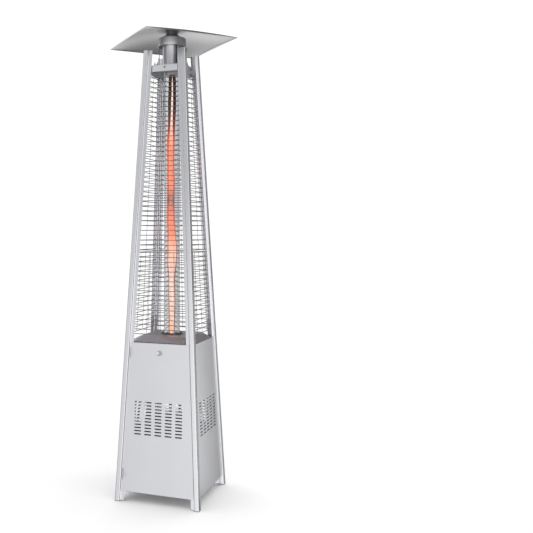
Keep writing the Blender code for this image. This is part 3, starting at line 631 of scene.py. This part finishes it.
def panel_mesh():
    """A sheet with punched slots and its top and bottom edges folded inwards."""
    bm = bmesh.new()

    def on_sheet(x, z):
        return bm.verts.new(front_point(x, PANEL_RECESS, z))

    outline = []
    folds = []
    for z, side in ((PANEL_BOTTOM, -1), (PANEL_TOP, 1)):
        bend, fold = z - side * FOLD_RADIUS, half(z) - FOLD_INSET
        edges = [half(height) - TUBE - PANEL_SIDE_GAP for height in (bend, z)]
        steps = [(edges[0], bend), (edges[1], z), (fold + FOLD_RELIEF, z), (fold, bend)]
        loop = [on_sheet(side * x, height) for x, height in steps]
        loop += [on_sheet(-side * x, height) for x, height in steps[::-1]]
        outline += loop
        folds.append((side, bend, loop[3:5]))
    slots = []
    for column in range(SLOT_COLUMNS):
        for row in range(SLOT_ROWS):
            x = (column - (SLOT_COLUMNS - 1) / 2) * SLOT_PITCH_X
            z = SLOT_CENTRE_Z + (row - (SLOT_ROWS - 1) / 2) * SLOT_PITCH_Z
            slots.append([on_sheet(px, pz) for px, pz in slot_outline(x, z)])
    fill_between(bm, [outline[::-1], *slots])
    rounding = [*arc((FOLD_RADIUS, 0), FOLD_RADIUS, 180, -90, 4)[1:], (FOLD_DEPTH, FOLD_RADIUS)]
    for side, bend, ends in folds:
        rows = [ends]
        for back, rise in rounding:
            z = bend + side * rise
            rows.append([bm.verts.new(front_point(v.co.x, PANEL_RECESS + back, z)) for v in ends])
        for (p, q), (r, s) in zip(rows, rows[1:]):
            bm.faces.new((p, q, s, r))
    return sheet_mesh(bm, Vector((0, -1, 0)))


def make_panels():
    mesh = panel_mesh()
    for quarter, node in enumerate(("front_door", "right_panel", "rear_panel", "left_panel")):
        obj = fine(node, mesh, "panel_steel", "door" if node == "front_door" else "frame", quarter * QUARTER)
        add_thickness(obj, PANEL_SHEET)
        add_bevel(obj, 0.00025, 1, 60.0)
        even_normals(obj)


# ---------------------------------------------------------------- guards

def guard_mesh(bottom, top, uprights):
    """Round wires: level ones in front, with thinner uprights welded behind them."""
    bm = bmesh.new()
    front, rear = GUARD_SETBACK + WIRE, GUARD_SETBACK + 2 * WIRE + UPRIGHT
    rows = round((top - bottom) / WIRE_PITCH)
    for row in range(rows + 1):
        z = bottom + (top - bottom) * row / rows
        reach = half(z) - GUARD_SIDE
        rod(bm, front_point(-reach, front, z), front_point(reach, front, z), WIRE)
    for place in uprights:
        rod(bm, *[front_point(place * (half(z) - GUARD_SIDE), rear, z) for z in (bottom, top)], UPRIGHT)
    return solid_mesh(bm)


def make_guards():
    """The guards' uprights stand at shares of the half width."""
    for part, uprights in (("lower_guard", (-1.0, -0.5, 0.0, 0.5, 1.0)), ("upper_guard", (-1.0, 0.0, 1.0))):
        lows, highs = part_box(f"{part}_front")
        mesh = guard_mesh(lows.z + WIRE, highs.z - WIRE, uprights)
        for quarter, side in enumerate(SIDES):
            fine(f"{part}_{side}", mesh, "guard_wire", turn=quarter * QUARTER)


# ---------------------------------------------------------------- burner and flame

FORMED_SHEET = 0.0012          # thickness of the tray, the top bracket and the control plate
PORTS = 24


def cut_square(wide, flat):
    """A square outline with its corners cut off, as (x, y) points."""
    points = []
    for quarter in range(4):
        turn = Matrix.Rotation(quarter * QUARTER, 2)
        points += [turn @ Vector((wide, side * flat)) for side in (-1, 1)]
    return points


def stepped_sheet(levels, hole_radius=0.0, hole_steps=64):
    """A folded sheet through cut-square levels (half, flat half, z), with a round hole in its flat top."""
    bm = bmesh.new()
    rings = [[bm.verts.new((x, y, z)) for x, y in cut_square(wide, flat)] for wide, flat, z in levels]
    loops = [rings[0]]
    if hole_radius:
        hole = arc((0, 0), hole_radius, 0, 360, hole_steps)[:-1]
        loops.append([bm.verts.new((x, y, levels[0][2])) for x, y in hole])
    fill_between(bm, loops)
    for upper, lower in zip(rings, rings[1:]):
        for i in range(8):
            j = (i + 1) % 8
            bm.faces.new((upper[i], lower[i], lower[j], upper[j]))
    return sheet_mesh(bm, Vector((0, 0, 1)))


def folded_piece(node, mesh, thickness, bend, look):
    """A stepped sheet with rounded bends and a real thickness."""
    obj = fine(node, mesh, look)
    add_bevel(obj, bend, 3, 15.0)
    add_thickness(obj, thickness, even=True)
    even_normals(obj)


def make_burner():
    deck, skirt = high("burner_tray").z, low("burner_tray").z
    lip = skirt + 0.020
    levels = [
        (0.118, 0.108, deck), (0.165, 0.127, lip + 0.0003), (0.150, 0.1235, lip), (0.150, 0.1235, skirt),
    ]
    folded_piece("burner_tray", stepped_sheet(levels, 0.0345), FORMED_SHEET, 0.0012, "heat_tinted_steel")
    ring_low, ring_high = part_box("tube_seat_ring")
    ledge, bore = low("glass_tube").z - 0.0003, 0.0355
    outer, seat, ring_top = ring_high.x, high("glass_tube").x + 0.0005, 0.0505
    profile = [
        (seat, ledge), (bore, ledge), (bore, ring_low.z), (outer, ring_low.z),
        (outer, ring_low.z + 0.0012), (outer - 0.0008, ring_low.z + 0.0024), (ring_top, ring_high.z - 0.0012),
        (ring_top - 0.0012, ring_high.z), (seat + 0.0008, ring_high.z), (seat, ring_high.z - 0.0008),
    ]
    fine("tube_seat_ring", turned_mesh(profile, closed=True), "fibre_gasket")


def make_burner_head():
    """A pressed steel cup with an open middle and two rings of gas ports round its shoulder."""
    lows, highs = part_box("burner_head")
    outer, wall, mouth, edge = highs.x, 0.0015, 0.0125, 0.0015
    top, bottom = highs.z, lows.z
    profile = [
        (0.010, top - 0.0006), (0.0106, top), (0.021, top - 0.002), (0.0252, top - 0.0050),
        (outer, top - 0.010),
        *arc((outer - edge, bottom + edge), edge, 0, -90, 4), (mouth, bottom), (mouth, bottom + wall),
        *arc((outer - edge, bottom + edge), edge - 0.0005, -90, 90, 3), (outer - wall, top - 0.011),
        (0.020, top - 0.0035), (0.010, top - wall),
    ]
    obj = fine("burner_head", turned_mesh(profile, 96, closed=True), "formed_steel")
    drills = bmesh.new()
    for ring, (reach, z) in enumerate(((0.0235, top - 0.0035), (0.0262, top - 0.0075))):
        for port in range(PORTS):
            angle = 2 * math.pi * (port + ring / 2) / PORTS
            out = Vector((math.cos(angle), math.sin(angle), 0.9))
            centre = Vector((reach * math.cos(angle), reach * math.sin(angle), z))
            rod(drills, centre - out * 0.004, centre + out * 0.004, 0.0009, 8)
    drill_piece(obj, drills)


def drill_piece(obj, drills):
    """Cuts a bmesh of separate rods out of a piece, and leaves the result as the piece's own mesh."""
    mesh = bpy.data.meshes.new("drills")
    drills.to_mesh(mesh)
    drills.free()
    cutter = new_object("drills", mesh)
    modifier = obj.modifiers.new("Ports", "BOOLEAN")
    modifier.object = cutter
    modifier.operation = "DIFFERENCE"
    bpy.context.view_layer.update()
    evaluated = obj.evaluated_get(bpy.context.evaluated_depsgraph_get())
    drilled = bpy.data.meshes.new_from_object(evaluated)
    obj.modifiers.remove(modifier)
    obj.data = drilled
    bpy.data.objects.remove(cutter)
    drilled.set_sharp_from_angle(angle=math.radians(SHARP))


# Radius of the flame's heart and of its skin, as (share of the way up, radius)
CORE_WIDTHS = (
    (0.00, 0.0085), (0.02, 0.0115), (0.12, 0.0125), (0.22, 0.0135), (0.29, 0.0175), (0.34, 0.0190),
    (0.42, 0.0125), (0.52, 0.0095), (0.66, 0.0105), (0.76, 0.0080), (0.86, 0.0042), (0.96, 0.0030),
    (1.00, 0.0012),
)
VEIL_WIDTHS = (
    (0.00, 0.0125), (0.02, 0.0155), (0.12, 0.0160), (0.20, 0.0165), (0.28, 0.0220), (0.34, 0.0240),
    (0.42, 0.0190), (0.60, 0.0180), (0.80, 0.0182), (0.93, 0.0190), (0.98, 0.0180), (1.00, 0.0130),
)
FLAME_RINGS, FLAME_SIDES = 150, 36


def width_at(widths, share):
    """Reads a width between its stated heights, easing from one to the next."""
    for (low_share, low_width), (high_share, high_width) in zip(widths, widths[1:]):
        if share <= high_share:
            part = (share - low_share) / (high_share - low_share)
            ease = (1 - math.cos(math.pi * part)) / 2
            return low_width + (high_width - low_width) * ease
    return widths[-1][1]


def flame_mesh(widths, ripple):
    """A tall closed tongue that sways about the tube's axis, with lobes that wind up it."""
    bm = bmesh.new()
    rings = []
    for step in range(FLAME_RINGS + 1):
        share = step / FLAME_RINGS
        z = FLAME_LOW + (FLAME_HIGH - FLAME_LOW) * share
        radius = width_at(widths, share)
        sway = 0.0022 * min(1.0, 4 * share)
        bow = 0.0030 * math.sin(math.pi * share)
        drift_x = sway * (math.sin(6.5 * z + 0.8) + 0.35 * math.sin(17 * z)) - bow
        drift_y = sway * (math.cos(5.7 * z) + 0.35 * math.cos(19 * z))
        ring = []
        for side in range(FLAME_SIDES):
            angle = 2 * math.pi * side / FLAME_SIDES
            lobes = math.sin(3 * angle + 21 * z) + 0.7 * math.sin(2 * angle - 33 * z + 1.1)
            reach = radius * (1 + ripple * lobes)
            x, y = drift_x + reach * math.cos(angle), drift_y + reach * math.sin(angle)
            ring.append(bm.verts.new((x, y, z)))
        rings.append(ring)
    for lower, upper in zip(rings, rings[1:]):
        join_loops(bm, lower, upper)
    bm.faces.new(rings[0][::-1])
    bm.faces.new(rings[-1])
    return solid_mesh(bm, 60.0)


def make_flame():
    piece("flame_heart", flame_mesh(CORE_WIDTHS, 0.10), "flame_core")
    # The skin's near-black top is a dark sheet of painted shade inside the top of the tube
    piece("flame_skin", flame_mesh(VEIL_WIDTHS, 0.055), "flame_glow_and_shade_veil")


def make_glass():
    lows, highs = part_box("glass_tube")
    wall, rim = 0.0025, 0.0008
    profile = ring_section(highs.x - wall, highs.x, lows.z, highs.z, rim)
    fine("glass_tube", turned_mesh(profile, 96, closed=True, sharp=60.0), "quartz_glass")


# ---------------------------------------------------------------- head

def make_top_bracket():
    lows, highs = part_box("top_bracket")
    levels = [(half(z) - GUARD_SETBACK, flat, z) for flat, z in ((0.0625, highs.z), (0.0640, lows.z))]
    folded_piece("top_bracket", stepped_sheet(levels, 0.035), FORMED_SHEET, 0.0006, "formed_steel")


def make_exhaust_sleeve():
    """A thin tube with a flared foot and a rolled top edge."""
    lows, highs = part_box("exhaust_sleeve")
    radius, wall, rolled, foot = 0.046, 0.001, 0.0011, highs.x
    profile = [
        (radius - wall, lows.z), (foot - 0.0005, lows.z), (foot, lows.z + 0.0005),
        (foot - 0.0005, lows.z + 0.001), (radius + 0.0015, lows.z + 0.001),
        (radius + 0.0004, lows.z + 0.0014), (radius, lows.z + 0.0025), (radius, highs.z - 0.004),
        *arc((radius - wall / 2 + 0.0002, highs.z - rolled), rolled, -30, 240, 8),
        (radius - wall, highs.z - 0.004),
    ]
    fine("exhaust_sleeve", turned_mesh(profile, closed=True), "formed_steel")


def make_collar_ring():
    """A pressed cup, open below, with a rolled lower edge."""
    lows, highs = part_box("collar_ring")
    radius, wall, edge = highs.x, 0.0012, 0.0022
    profile = [
        (0.0, highs.z), *arc((radius - edge, highs.z - edge), edge, 90, -90, 5),
        *arc((radius - 0.0012, lows.z + 0.0012), 0.0012, 0, -180, 8),
        (radius - wall - 0.0009, lows.z + 0.004), (radius - wall, lows.z + 0.005),
        *arc((radius - edge, highs.z - edge), edge - wall, 0, 90, 4), (0.0, highs.z - wall),
    ]
    fine("collar_ring", turned_mesh(profile, 96), "formed_steel")


def make_reflector_spacer():
    """A shallow cone with a rounded foot."""
    lows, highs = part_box("reflector_spacer")
    wide, narrow = highs.x, 0.028
    profile = [
        (0.0, highs.z), (narrow, highs.z), (narrow + 0.0005, highs.z - 0.0005),
        (narrow + 0.0008, highs.z - 0.002), (wide - 0.0012, lows.z + 0.0026),
        (wide - 0.0002, lows.z + 0.0016), (wide, lows.z + 0.0008), (wide - 0.0003, lows.z), (0.0, lows.z),
    ]
    fine("reflector_spacer", turned_mesh(profile), "heat_tinted_steel")


def make_collar_bracket():
    """A flat ring on the top bracket, with four bent straps that hold the collar ring up."""
    lows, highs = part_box("collar_bracket")
    thick, edge, bend = 0.0015, 0.0004, 0.0030
    inner, outer = 0.0545, 0.0665
    profile = ring_section(inner, outer, lows.z, lows.z + thick, edge)
    fine("collar_bracket", turned_mesh(profile, 96, closed=True), "polished_steel")
    base = lows.z + thick + 0.0001
    outside = high("collar_ring").x - 0.0026
    outline = [
        (inner + 0.0010, base), *arc((outside - bend, base + bend), bend, -90, 90, 5),
        (outside, highs.z), (outside - thick, highs.z),
        *arc((outside - bend, base + bend), bend - thick, 0, -90, 4), (inner + 0.0010, base + thick),
    ]
    for quarter in range(4):
        turn = STRAP_ANGLE + quarter * QUARTER
        strap = bmesh.new()
        extruded(strap, outline, -0.0035, 0.0035)
        piece(f"collar_strap_{quarter + 1}", solid_mesh(strap), "dark_steel", turn=turn, bevel=0.0003)
        screw = bmesh.new()
        button_screw(screw, Matrix.Translation((inner + 0.0050, 0, base + thick)), 0.0026)
        piece(f"collar_strap_screw_{quarter + 1}", solid_mesh(screw), "polished_steel", turn=turn)


def make_reflector():
    """A square sheet, domed in the middle, whose arched edges turn down in a lip."""
    lows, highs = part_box("reflector")
    reach = highs.x / math.sqrt(2)
    lip_drop, cells, arch = 0.0012, 48, 0.0060
    plane = lows.z + lip_drop
    rise = highs.z - plane
    bm = bmesh.new()
    bmesh.ops.create_grid(bm, x_segments=cells, y_segments=cells, size=reach)
    rim = [edge for edge in bm.edges if edge.is_boundary]
    for v in bm.verts:
        u, w = 1 - (v.co.x / reach) ** 2, 1 - (v.co.y / reach) ** 2
        v.co.z = plane + (rise - 2 * arch) * u * w + arch * (u + w)
    lip = bmesh.ops.extrude_edge_only(bm, edges=rim)
    for item in lip["geom"]:
        if isinstance(item, bmesh.types.BMVert):
            item.co.z = lows.z
    bmesh.ops.rotate(bm, verts=bm.verts, matrix=Matrix.Rotation(math.radians(45), 3, "Z"))
    mesh = sheet_mesh(bm, Vector((0, 0, 1)), 40.0, merge=False)
    add_thickness(fine("reflector", mesh, "reflector_sheet"), 0.001)


def make_reflector_nut():
    """A domed cap nut on its washer."""
    lows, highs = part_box("reflector_nut")
    base, washer = lows.z, highs.x
    profile = [
        (0.0, highs.z), (0.0022, highs.z - 0.0002), (0.0038, highs.z - 0.0014), (0.0046, highs.z - 0.0030),
        (0.0048, base + 0.0040, hexagon), (0.0050, base + 0.0036, hexagon), (0.0050, base + 0.0010, hexagon),
        (washer - 0.0006, base + 0.0009), (washer, base + 0.0006), (washer, base + 0.0002),
        (washer - 0.0003, base), (0.0, base),
    ]
    fine("reflector_nut", turned_mesh(profile, 48), "polished_steel")


# ---------------------------------------------------------------- door, controls and fasteners

def make_door_knob():
    """A turned pull knob: a rose, a waisted neck and a dished head."""
    lows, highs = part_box("door_knob")
    head, length = (highs.x - lows.x) / 2, 0.017
    profile = [
        (0.0, length - 0.0010), (head * 0.45, length - 0.0008), (head * 0.66, length - 0.0002),
        (head * 0.80, length - 0.0003), (head * 0.93, length - 0.0016), (head, length - 0.0034),
        (head * 0.97, length - 0.0052), (head * 0.80, length - 0.0078), (head * 0.60, length - 0.0098),
        (head * 0.50, length - 0.0120), (head * 0.50, 0.0026), (head * 0.56, 0.0012), (head * 0.58, 0.0),
        (0.0, 0.0),
    ]
    place = on_front(0, PANEL_RECESS - 0.0003, (lows.z + highs.z) / 2)
    fine("door_knob", turned_mesh(profile, 48, place=place), "polished_steel", "door")


def make_control_knob():
    """A fluted knob with a raised grip across its face."""
    lows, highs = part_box("control_knob")
    centre, radius = middle("control_knob"), (highs.x - lows.x) / 2
    skirt, bore, bore_depth, face = 0.0040, 0.0044, 0.0103, 0.0168
    profile = [
        (0.0, bore_depth), (bore, bore_depth), (bore, 0.0), (radius - 0.0006, 0.0), (radius, 0.0006),
        (radius, skirt - 0.0006), (radius - 0.0006, skirt), (radius - 0.0020, skirt + 0.0003, fluted),
        (radius - 0.0028, face - 0.0015, fluted), (radius - 0.0040, face - 0.0003, fluted),
        (radius - 0.0055, face), (0.0, face),
    ]
    place = Matrix.Translation((centre.x, highs.y, centre.z)) @ FACING_FRONT
    fine("control_knob", turned_mesh(profile, 128, place=place), "black_plastic", "control_knob")
    grip = bmesh.new()
    half_wide, inset = 0.0030, 0.0022
    end, start = radius - inset, 2 * inset - radius
    outline = [*arc((0, end - half_wide), half_wide, 0, 180, 8), (-half_wide, start), (half_wide, start)]
    extruded(grip, outline, lows.y, highs.y - face - 0.0001, Matrix.Translation((centre.x, 0, centre.z)))
    piece("control_knob_grip", solid_mesh(grip), "black_plastic", "control_knob", bevel=0.0006)


def make_igniter_button():
    """A dished push button on its plunger."""
    lows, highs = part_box("igniter_button")
    centre, radius = middle("igniter_button"), (highs.x - lows.x) / 2
    plunger, cap = 0.0045, 0.0080
    back = cap - (highs.y - lows.y)
    profile = [
        (0.0, cap - 0.0007), (radius * 0.50, cap - 0.0005), (radius * 0.72, cap),
        (radius * 0.88, cap - 0.0005), (radius * 0.97, cap - 0.0016), (radius, cap - 0.0032),
        (radius, 0.0006), (radius - 0.0006, 0.0),
        (plunger, 0.0), (plunger, back + 0.0006), (plunger - 0.0006, back), (0.0, back),
    ]
    place = Matrix.Translation((centre.x, lows.y + cap, centre.z)) @ FACING_FRONT
    fine("igniter_button", turned_mesh(profile, 48, place=place), "red_plastic", "igniter_button")


def make_control_details():
    """Thin rings round the stem and the plunger, raised marks round the knob, and the plate's screws."""
    front = high("control_plate").y - FORMED_SHEET
    on_plate = front - 0.0001
    hole, thick = 0.0066, 0.0008
    rings = (("knob_ring", "valve_stem", 0.0105), ("igniter_ring", "igniter_button", 0.0110))
    for name, node, reach in rings:
        centre = middle(node)
        place = Matrix.Translation((centre.x, on_plate, centre.z)) @ FACING_FRONT
        profile = [(hole, thick), (hole, 0.0), (reach, 0.0), (reach, 0.0005), (reach - 0.0004, thick)]
        piece(name, turned_mesh(profile, 48, closed=True, place=place), "polished_steel")
    centre, circle = middle("valve_stem"), 0.0265
    marks = bmesh.new()
    for step in range(8):          # from the top in the direction that the knob turns, each one larger
        angle = math.radians(90 + 30 * step)
        dot = 0.0010 + 0.00012 * step
        x, z = centre.x + circle * math.cos(angle), centre.z + circle * math.sin(angle)
        place = Matrix.Translation((x, on_plate, z)) @ FACING_FRONT
        spun(marks, [(0.0, 0.0005), (dot * 0.8, 0.0004), (dot, 0.0), (0.0, 0.0)], 16, place)
    piece("knob_marks", solid_mesh(marks), "black_plastic")
    screws = bmesh.new()
    lowest = low("control_plate").z + 0.014
    for x in (-0.084, 0.084):
        for z in (lowest, lowest + 0.112):
            button_screw(screws, Matrix.Translation((x, front, z)) @ FACING_FRONT, 0.0034)
    piece("control_plate_screws", solid_mesh(screws), "polished_steel")


def make_bracket_fasteners():
    """On each side, a screw in the top bracket and two bolts that stand on it."""
    lows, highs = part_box("top_bracket")
    screw_z = lows.z + 0.6 * (highs.z - lows.z)
    bolt_profile = [
        (0.0, 0.0135), (0.0016, 0.0135), (0.0020, 0.0128), (0.0020, 0.0042), (0.0034, 0.0041, hexagon),
        (0.0036, 0.0038, hexagon), (0.0036, 0.0012, hexagon), (0.0034, 0.0010, hexagon), (0.0046, 0.0009),
        (0.0048, 0.0006), (0.0048, 0.0), (0.0, 0.0),
    ]
    for quarter, side in enumerate(SIDES):
        turn = quarter * QUARTER
        screw = bmesh.new()
        button_screw(screw, on_front(0, GUARD_SETBACK - 0.0001, screw_z), 0.0042)
        piece(f"bracket_screw_{side}", solid_mesh(screw), "dark_steel", turn=turn)
        for number, x in enumerate((-0.052, -0.040)):
            bolt = bmesh.new()
            spun(bolt, bolt_profile, 48, Matrix.Translation((x, 0.016 - half(highs.z), highs.z + 0.0001)))
            piece(f"bracket_bolt_{side}_{number + 1}", solid_mesh(bolt), "dark_steel", turn=turn)


def make_hinge_rivets():
    for name in ("lower", "upper"):
        z = middle(f"{name}_hinge_door_leaf").z + 0.006
        rivet = bmesh.new()
        spun(rivet, [(0.0, 0.0011), (0.0014, 0.0010), (0.0022, 0.0006), (0.0025, 0.0), (0.0, 0.0)], 24,
             on_front(TUBE + 0.006 - half(z), PANEL_RECESS - 0.00005, z))
        piece(f"{name}_hinge_rivet", solid_mesh(rivet), "formed_steel", "door")


def make_shelf():
    lows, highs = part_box("cylinder_shelf")
    levels = [(highs.x, 0.160, z) for z in (highs.z, lows.z)]
    folded_piece("cylinder_shelf", stepped_sheet(levels), 0.0015, 0.0020, "formed_steel")


# ---------------------------------------------------------------- stage

CAMERA_AZIMUTH, CAMERA_DISTANCE, CAMERA_HEIGHT = math.radians(20.57), 3.702, 1.289
CAMERA_PITCH, CAMERA_LENS, CAMERA_SHIFT = math.radians(-1.36), 50.61, (0.1775, -0.03)


def make_camera():
    data = bpy.data.cameras.new("camera")
    data.lens = CAMERA_LENS
    data.shift_x, data.shift_y = CAMERA_SHIFT
    data.clip_start, data.clip_end = 0.05, 60.0
    camera = new_object("camera", data)
    camera.location = (
        CAMERA_DISTANCE * math.sin(CAMERA_AZIMUTH), -CAMERA_DISTANCE * math.cos(CAMERA_AZIMUTH), CAMERA_HEIGHT
    )
    camera.rotation_euler = (QUARTER + CAMERA_PITCH, 0, CAMERA_AZIMUTH)
    bpy.context.scene.camera = camera


def make_floor():
    mesh = bpy.data.meshes.new("floor")
    bm = bmesh.new()
    bmesh.ops.create_circle(bm, cap_ends=True, segments=96, radius=7.0)
    bm.to_mesh(mesh)
    bm.free()
    floor = new_object("floor", mesh)
    floor.location.z = -0.0005
    made, tree, shader = new_material(Roughness=0.9, Specular_IOR_Level=0.2)
    mottle = noise(tree, (1.5, 1.5, 1.5), detail=4.0)
    pale = fade(tree, mottle, (0.975, 0.975, 0.975), (0.99, 0.99, 0.99))
    tree.links.new(pale, shader.inputs["Base Color"])
    made.name = "pale_floor"
    mesh.materials.append(made)
    floor.visible_glossy = False      # the studio below the horizon is in the world, like the walls


# Brightness of the studio by azimuth in degrees, 0 in front of the door and 90 at +X: LOW_WALLS below the
# horizon, HIGH_WALLS above it, and BENEATH in place of both for a steep look down.
LOW_WALLS = (
    (-180, 0.50), (-170, 0.46), (-164, 0.50), (-156, 0.78), (-148, 0.70), (-135, 0.60), (-120, 1.10),
    (-100, 1.10), (-92, 0.10), (-50, 0.10), (-42, 0.66), (-30, 0.60), (-24, 0.66), (-18, 0.88), (-8, 1.20),
    (0, 1.25), (25, 1.20), (48, 1.05), (58, 0.03), (82, 0.03), (92, 0.40), (112, 0.10), (150, 0.18),
    (165, 0.24), (175, 0.45), (180, 0.50),
)
HIGH_WALLS = (
    (-180, 0.50), (-170, 0.46), (-164, 0.48), (-156, 0.60), (-148, 0.50), (-130, 0.70), (-118, 1.20),
    (-100, 1.20), (-92, 0.10), (-50, 0.10), (-42, 0.50), (-30, 0.43), (-18, 0.46), (-8, 0.62), (22, 0.95),
    (48, 0.90), (58, 0.03), (82, 0.03), (92, 0.50), (112, 0.06), (145, 0.08), (162, 0.30), (170, 0.50),
    (180, 0.50),
)
BENEATH = (0.16, 0.16, 0.16)


def studio(tree, place, walls):
    """The walls as a ramp round the horizon, a little blue."""
    stops = [((azimuth + 180) / 360, (level, level, level * 1.02)) for azimuth, level in walls]
    return ramp(tree, place, stops)


def make_world():
    """White to the camera and to matt surfaces. Shiny ones reflect the studio's bright and dark walls."""
    world = bpy.data.worlds.new("studio")
    bpy.context.scene.world = world
    world.use_nodes = True
    tree = world.node_tree
    tree.nodes.clear()
    coords = add_node(tree, "ShaderNodeTexCoord")
    axes = add_node(tree, "ShaderNodeSeparateXYZ", {"Vector": coords.outputs["Generated"]})
    across = math_node(tree, "MULTIPLY", axes.outputs["Y"], -1.0)
    turn = math_node(tree, "ARCTAN2", axes.outputs["X"], across)
    place = spread(tree, turn, 0.0, 1.0, -math.pi, math.pi)
    climb = spread(tree, axes.outputs["Z"], 0.0, 1.0, -0.03, 0.15)
    walls = mix(tree, climb, studio(tree, place, LOW_WALLS), studio(tree, place, HIGH_WALLS))
    drop = spread(tree, axes.outputs["Z"], 1.0, 0.0, -0.68, -0.34)
    seen = add_node(tree, "ShaderNodeLightPath")
    plain = math_node(tree, "MAXIMUM", seen.outputs["Is Camera Ray"], seen.outputs["Is Diffuse Ray"])
    colour = mix(tree, plain, mix(tree, drop, walls, BENEATH), (1.0, 1.0, 1.0))
    background = add_node(tree, "ShaderNodeBackground", {"Color": colour, "Strength": 1.08})
    output = add_node(tree, "ShaderNodeOutputWorld")
    tree.links.new(background.outputs["Background"], output.inputs["Surface"])


def make_light(name, place, target, size, power):
    data = bpy.data.lights.new(name, "AREA")
    data.shape = "RECTANGLE"
    data.size, data.size_y = size
    data.energy = power
    light = new_object(name, data)
    light.location = place
    light.rotation_euler = (Vector(target) - Vector(place)).to_track_quat("-Z", "Y").to_euler()
    light.visible_camera = False


def make_lights():
    make_light("overhead", (0.3, -0.6, 4.2), (0, 0, 1), (3.5, 3.5), 10)
    make_light("front_left", (-2.2, -2.6, 2.4), (0, 0, 1.1), (1.6, 2.4), 5)
    make_light("right_side", (0.74, 0.60, 0.38), (0.25, -0.2, 0.38), (0.3, 1.2), 1.5)


bpy.context.scene.view_settings.view_transform = "Standard"
for make in (
    dress_frame, make_posts, make_panels, make_guards, make_burner, make_burner_head, make_flame, make_glass,
    make_top_bracket, make_exhaust_sleeve, make_collar_ring, make_reflector_spacer, make_collar_bracket,
    make_reflector, make_reflector_nut, make_door_knob, make_control_knob, make_igniter_button,
    make_control_details, make_bracket_fasteners, make_hinge_rivets, make_shelf,
    make_camera, make_floor, make_world, make_lights,
):
    make()
